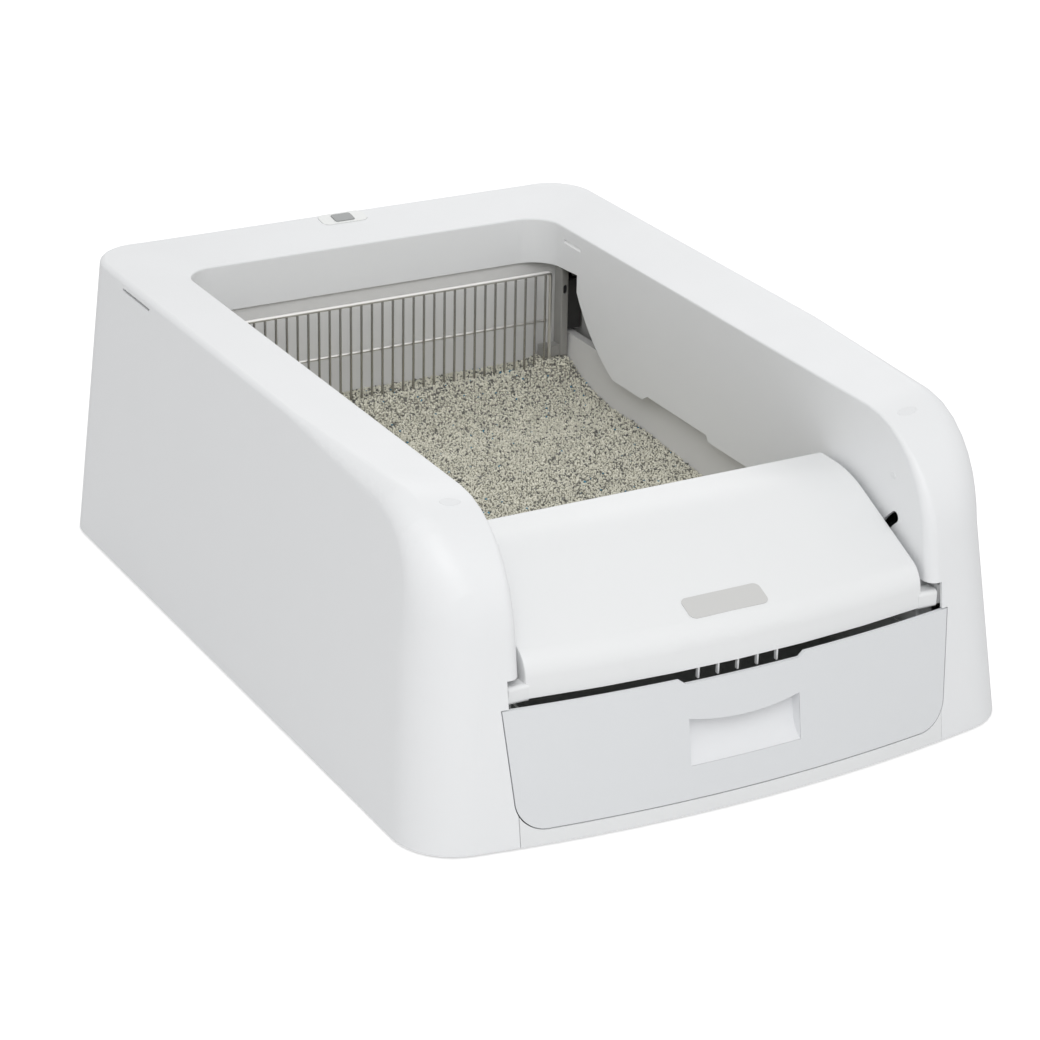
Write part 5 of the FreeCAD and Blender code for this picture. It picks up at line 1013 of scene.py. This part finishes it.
def grains_mesh():
    """Every loose grain in one mesh, with a finish for each grain."""
    spots = grain_spots()
    corners, faces = GRAIN_CORNERS, GRAIN_FACES
    count = len(spots)
    sizes = random.uniform(*GRAIN_SIZES, count)
    shapes = random.uniform(*GRAIN_SHAPES, (count, 1, 3))
    rough = random.uniform(*GRAIN_ROUGH, (count, len(corners), 1))
    turn = turned(random.normal(size=(count, 4)))
    local = corners[None] * shapes * rough * sizes[:, None, None]
    points = np.einsum("nij,nkj->nki", turn, local) + spots[:, None]
    order = faces[None] + (np.arange(count) * len(corners))[:, None, None]

    mesh = bpy.data.meshes.new("litter_grains")
    mesh.vertices.add(count * len(corners))
    mesh.vertices.foreach_set("co", points.reshape(-1))
    mesh.loops.add(order.size)
    mesh.loops.foreach_set("vertex_index", order.reshape(-1))
    total = count * len(faces)
    mesh.polygons.add(total)
    mesh.polygons.foreach_set("loop_start", np.arange(total) * faces.shape[1])
    mesh.polygons.foreach_set("material_index", np.repeat(grain_finishes(spots), len(faces)))
    mesh.update(calc_edges=True)
    mesh.validate()
    return mesh


# The heap's darker tone is painted shade between the loose grains
heap = piece("litter_heap", heap_mesh(), [litter_under_painted_shade], "base")
piece(
    "litter_grains", grains_mesh(), [litter_pale, litter_dark, litter_blue], "base"
)
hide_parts("litter_bed")


# Studio: pale floor, soft lights and white surroundings

FLOOR_RADIUS = 30
FLOOR_LEVEL = -0.2 * MM
FLOOR_GLOW = 0.5
FLOOR_TONES = (0.76, 0.73)


def grey(level):
    """Colour with three equal channels."""
    return tint((level, level, level))


def floor():
    """Round pale floor that keeps the shadow and looks white to the camera."""
    form = bmesh.new()
    bmesh.ops.create_circle(form, cap_ends=True, segments=64, radius=FLOOR_RADIUS)
    mesh = mesh_of(form, "floor", smooth=False)
    item = new_object("floor", mesh)
    item.location.z = FLOOR_LEVEL
    material, tree, shader = new_material("floor_white")
    tone = placed(tree, TONE, Colour=grey(FLOOR_TONES[0]), Second_Colour=grey(FLOOR_TONES[1]),
                  Scale=2.0, Amount=0.3)
    join(tree, tone.outputs["Colour"], shader.inputs["Base Color"])
    shader.inputs["Roughness"].default_value = 0.9
    shader.inputs["Specular IOR Level"].default_value = 0.1
    path = add(tree, "ShaderNodeLightPath")
    glow = math_node(tree, "MULTIPLY", path.outputs["Is Camera Ray"], FLOOR_GLOW)
    shader.inputs["Emission Color"].default_value = grey(1)
    join(tree, glow, shader.inputs["Emission Strength"])
    mesh.materials.append(material)


def surroundings(level):
    """White world: white to the camera and in reflections, a soft light elsewhere."""
    world = bpy.data.worlds.new("studio")
    bpy.context.scene.world = world
    world.use_nodes = True
    tree = world.node_tree
    back = next(n for n in tree.nodes if n.type == "BACKGROUND")
    path = add(tree, "ShaderNodeLightPath")
    seen = math_node(tree, "MAXIMUM", path.outputs["Is Camera Ray"],
                     path.outputs["Is Transmission Ray"])
    seen = math_node(tree, "MAXIMUM", seen, path.outputs["Is Glossy Ray"])
    strength = math_node(
        tree, "ADD", math_node(tree, "MULTIPLY", seen, 1.0 - level), level
    )
    back.inputs["Color"].default_value = grey(1)
    join(tree, strength, back.inputs["Strength"])


def soft_light(name, place, target, size, power):
    """Round lamp of a width in metres and a power in watts, aimed at a target."""
    lamp = bpy.data.lights.new(name, "AREA")
    lamp.shape = "DISK"
    lamp.size = size
    lamp.energy = power
    item = new_object(name, lamp)
    item.location = place
    item.rotation_mode = "QUATERNION"
    item.rotation_quaternion = (Vector(target) - Vector(place)).to_track_quat("-Z", "Y")


WORLD_LEVEL = 0.7
LAMP_TARGET = (0, 0, 0.1)

floor()
surroundings(WORLD_LEVEL)
soft_light("front_light", (-0.85, -2.0, 2.1), LAMP_TARGET, size=1.8, power=27)
soft_light("rear_light", (1.7, 2.2, 1.7), LAMP_TARGET, size=1.6, power=8)


# Camera at the photograph's viewing angle

SENSOR_WIDTH = 36.0


def camera(azimuth, elevation, roll, distance, target, lens):
    """Camera on a sphere round the target, in degrees, metres and millimetres of lens."""
    turn, lift, lean = (math.radians(angle) for angle in (azimuth, elevation, roll))
    back = Vector((
        math.sin(turn) * math.cos(lift), -math.cos(turn) * math.cos(lift), math.sin(lift)
    ))
    right = (-back).cross(Vector((0, 0, 1))).normalized()
    up = right.cross(-back)
    across = right * math.cos(lean) + up * math.sin(lean)
    upward = up * math.cos(lean) - right * math.sin(lean)
    data = bpy.data.cameras.new("camera")
    data.sensor_width = SENSOR_WIDTH
    data.lens = lens
    item = new_object("camera", data)
    place = Vector(target) + back * distance
    rotation = Matrix((across, upward, back)).transposed().to_4x4()
    item.matrix_world = Matrix.Translation(place) @ rotation
    bpy.context.scene.camera = item


camera(azimuth=-29.05, elevation=23.77, roll=1.10, distance=2.3596,
       target=(0, -0.0016, 0.0809), lens=108.24)
bpy.context.scene.view_settings.view_transform = "Standard"

bpy.context.view_layer.update()
